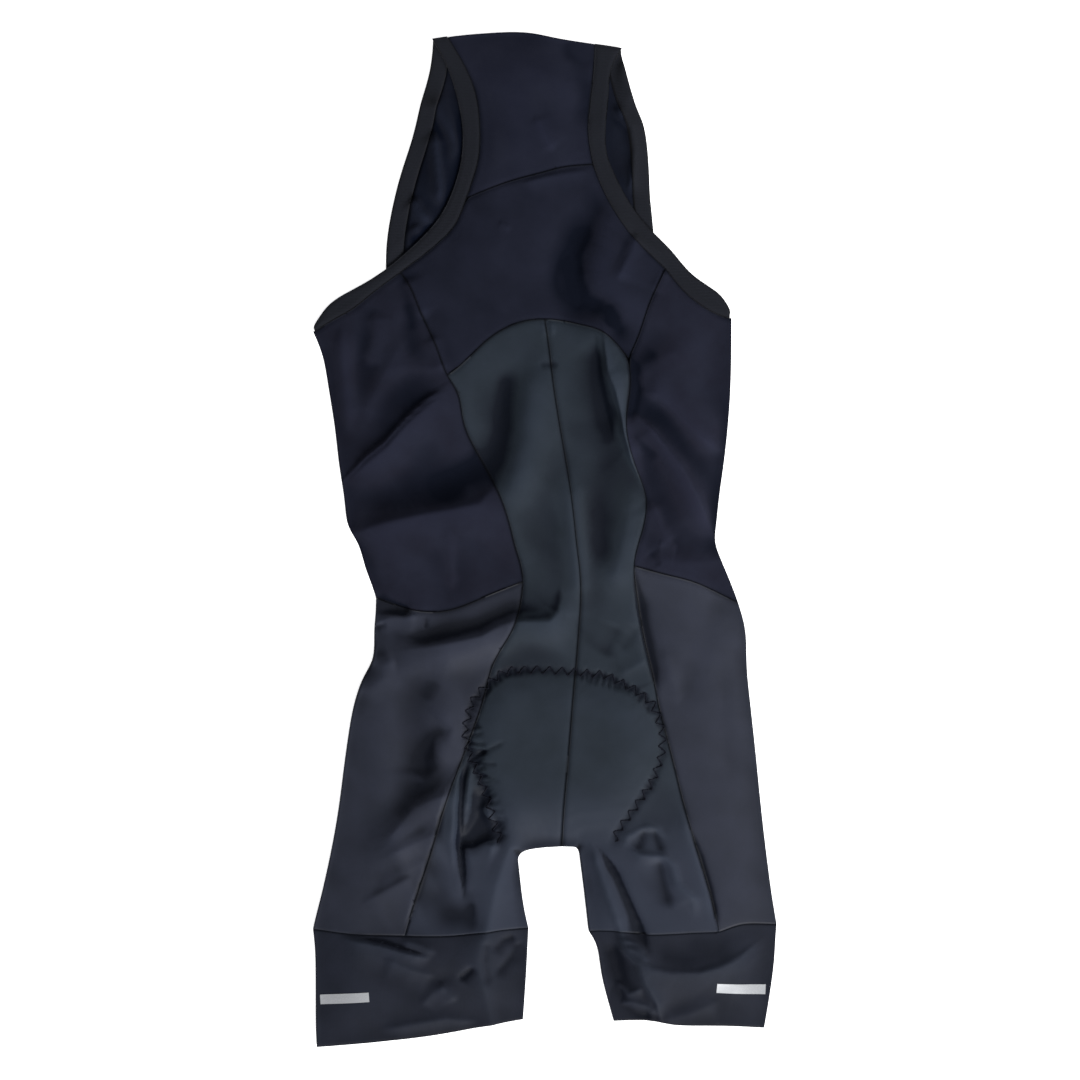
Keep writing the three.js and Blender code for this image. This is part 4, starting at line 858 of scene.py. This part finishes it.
# The panels
zigzag, zigzagPhase, gathers = padLines()
pieces = {}
for node, panel in panels.items():
    pieces[node] = clothFromNode(node, panel["fine"])
backNames = [n for n in panels if not n.startswith(("front_", "binding_front"))]
strapNames = ["front_strap_left", "front_strap_right"]
frontNames = ["front_left", "front_right"]
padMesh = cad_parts["seat_pad"].data
padFaces = [tuple(p.vertices) for p in padMesh.polygons]
padTree = BVHTree.FromPolygons([v.co for v in padMesh.vertices], padFaces)
flatTops = topsOf([n for n in backNames if not n.startswith("binding")])
rawField = meanField(*flatTops, 0.9)
calmField = meanField(*flatTops, cloth["calmReach"])
for node in backNames:
    storeValues(pieces[node], "edge", shapeBack(pieces[node]))


def treeOf(names):
    corners, faces = [], []
    for name in names:
        mesh = pieces[name].data
        start = len(corners)
        corners += [v.co.copy() for v in mesh.vertices]
        faces += [tuple(start + k for k in p.vertices) for p in mesh.polygons]
    return BVHTree.FromPolygons(corners, faces)


backTree = treeOf(backNames)
for node in (*strapNames, "binding_front_left", "binding_front_right"):
    storeValues(pieces[node], "edge", shapeFrontStrap(pieces[node], backTree))


def storeFlat(piece):
    # a piece without seams or folds of its own
    for name in ("edge", "relief"):
        storeValues(piece, name, np.zeros(len(piece.data.vertices)))


# How the cloth's own heights are painted into its colour: each point against the mean around it, near
# and further out, gives painted shade in the hollows and painted light on the crests
shade = {"local": 0.9, "around": 5.5, "aroundShare": 0.6, "broad": 16, "broadShare": 0.4, "fade": 2.5}
for node in frontNames:
    storeFlat(pieces[node])
for names, lowest in ((backNames, 1.8), (strapNames, 0.7)):
    tops = topsOf(names, lowest)
    localField = meanField(*tops, shade["local"])
    aroundField = meanField(*tops, shade["around"])
    broadField = meanField(*tops, shade["broad"])
    for name in names:
        x, y, z = readPoints(pieces[name]).T
        relief = fieldAt(localField, x, y)
        relief -= shade["aroundShare"] * fieldAt(aroundField, x, y)
        relief -= shade["broadShare"] * fieldAt(broadField, x, y)
        # the painted shade of the pockets and tucks
        relief -= foldRise(paintedPocketShade, x, y)
        relief *= np.clip((z - lowest) * shade["fade"], 0, 1)
        storeValues(pieces[name], "relief", relief)
for node, panel in panels.items():
    piece = pieces[node]
    piece.data.materials.append(materials[panel["look"]])
    if panel["look"] == "binding":
        points = readPoints(piece)
        storeValues(piece, "lengthwise", points[:, 1] * 1.15)
    selectOnly(piece)
    bpy.ops.object.shade_smooth_by_angle(angle=math.radians(50))
    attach(piece, "root")
    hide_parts(node)
print("panels shaped:", len(pieces))

# The seat pad, between the layers
pad = clothFromNode("seat_pad", False)
storeFlat(pad)
pad.data.materials.append(materials["pad"])
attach(pad, "root")
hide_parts("seat_pad")


def surfaceHeight(tree, x, y):
    hit = tree.ray_cast(Vector((x * mm, y * mm, 0.05)), Vector((0, 0, -1)))
    return hit[0].z / mm if hit[0] is not None else None


def threadAlong(name, places, radius):
    curve = bpy.data.curves.new(name, "CURVE")
    curve.dimensions = "3D"
    curve.bevel_depth = radius * mm
    curve.bevel_resolution = 1
    curve.use_fill_caps = True
    spline = curve.splines.new("POLY")
    spline.points.add(len(places) - 1)
    for point, place in zip(spline.points, places):
        point.co = (*(np.array(place) * mm), 1)
    thread = bpy.data.objects.new(name, curve)
    bpy.context.scene.collection.objects.link(thread)
    selectOnly(thread)
    bpy.ops.object.convert(target="MESH")
    thread = bpy.context.view_layer.objects.active
    bpy.ops.object.shade_smooth()
    thread.data.materials.append(materials["thread"])
    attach(thread, "root")
    return thread


def padStitching():
    places = []
    for (x, y), phase in zip(zigzag, zigzagPhase):
        z = surfaceHeight(backTree, x, y)
        if z is None:
            continue
        stitch = abs(math.sin(math.pi * phase * 2 * padEdge["stitchesPerSide"]))
        places.append((x, y, z - padEdge["sunk"] + padEdge["stitchRise"] * stitch))
    return threadAlong("pad_stitching", places, padEdge["thread"])


padStitching()
print("stitching sewn")

# Plain reflective bars on the cuffs
barCut = {"size": (46, 9), "above": 0.12, "film": 0.15}
bars = {
    "left": {"centre": (-186, -427), "turn": 4},
    "right": {"centre": (183, -418), "turn": -3},
}
for side, bar in bars.items():
    bpy.ops.mesh.primitive_grid_add(x_subdivisions=48, y_subdivisions=12, size=1)
    patch = bpy.context.view_layer.objects.active
    patch.name = "reflective_bar_" + side
    corners = readPoints(patch) * mm
    width, height = barCut["size"]
    turn = math.radians(bar["turn"])
    u, v = corners[:, 0] * width, corners[:, 1] * height
    x = bar["centre"][0] + u * math.cos(turn) - v * math.sin(turn)
    y = bar["centre"][1] + u * math.sin(turn) + v * math.cos(turn)
    z = np.array([surfaceHeight(backTree, a, b) or cloth["stack"] for a, b in zip(x, y)])
    writePoints(patch, np.stack([x, y, z + barCut["above"]], axis=1))
    patch.data.materials.append(materials["reflective"])
    selectOnly(patch)
    thick = patch.modifiers.new("film", "SOLIDIFY")
    thick.thickness = barCut["film"] * mm
    thick.offset = 1
    bpy.ops.object.modifier_apply(modifier=thick.name)
    bpy.ops.object.shade_smooth_by_angle(angle=math.radians(40))
    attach(patch, "root")
print("bars printed")

# The setting
studio = {
    "floorSize": 6.0,
    "floorHeight": -0.0002,
    "floorColour": (0.86, 0.86, 0.87, 1),
    "floorLight": (0.88, 0.88, 0.885, 1),
    "floorGlow": 0.8,
    "ambient": 0.15,
    "cameraHeight": 1.401,
    "aim": (-0.0042, -0.0005),
    "lens": 50,
    "sensor": 36,
}
bpy.ops.mesh.primitive_plane_add(size=studio["floorSize"], location=(0, 0, studio["floorHeight"]))
floor = bpy.context.view_layer.objects.active
floor.name = "floor"
floorShader = Shader("pale_floor")
floorPlace = floorShader.node("ShaderNodeTexCoord", output=3)
floorGrain = floorShader.noise(floorPlace, 3.0)
floorShade = floorShader.mixed(floorGrain, studio["floorColour"], studio["floorLight"])
floor.data.materials.append(floorShader.finish(**{
    "Base Color": floorShade,
    "Roughness": 0.9,
    "Emission Color": floorShade,
    "Emission Strength": studio["floorGlow"],
}))

lights = {
    "key": {"kind": "SUN", "place": (0.36, -0.93, 0.55), "spread": 0.4, "power": 5.8},
    "near": {"kind": "AREA", "place": (1.05, -0.05, 0.65), "size": 0.7, "power": 12.5},
    "top": {"kind": "AREA", "place": (-0.1, 0.2, 2.6), "size": 2.4, "power": 20},
}
for name, light in lights.items():
    bpy.ops.object.light_add(type=light["kind"], location=light["place"])
    lamp = bpy.context.view_layer.objects.active
    lamp.name = "light_" + name
    lamp.data.energy = light["power"]
    if light["kind"] == "SUN":
        lamp.data.angle = light["spread"]
    else:
        lamp.data.size = light["size"]
    lamp.rotation_euler = (-Vector(light["place"])).to_track_quat("-Z", "Y").to_euler()
world = bpy.data.worlds.new("studio")
bpy.context.scene.world = world
world.use_nodes = True
world.node_tree.nodes["Background"].inputs[0].default_value = (1, 1, 1, 1)
world.node_tree.nodes["Background"].inputs[1].default_value = studio["ambient"]

bpy.ops.object.camera_add(location=(*studio["aim"], studio["cameraHeight"]), rotation=(0, 0, 0))
camera = bpy.context.view_layer.objects.active
camera.data.lens = studio["lens"]
camera.data.sensor_width = studio["sensor"]
bpy.context.scene.camera = camera
bpy.context.scene.view_settings.view_transform = "Standard"
print("studio set")
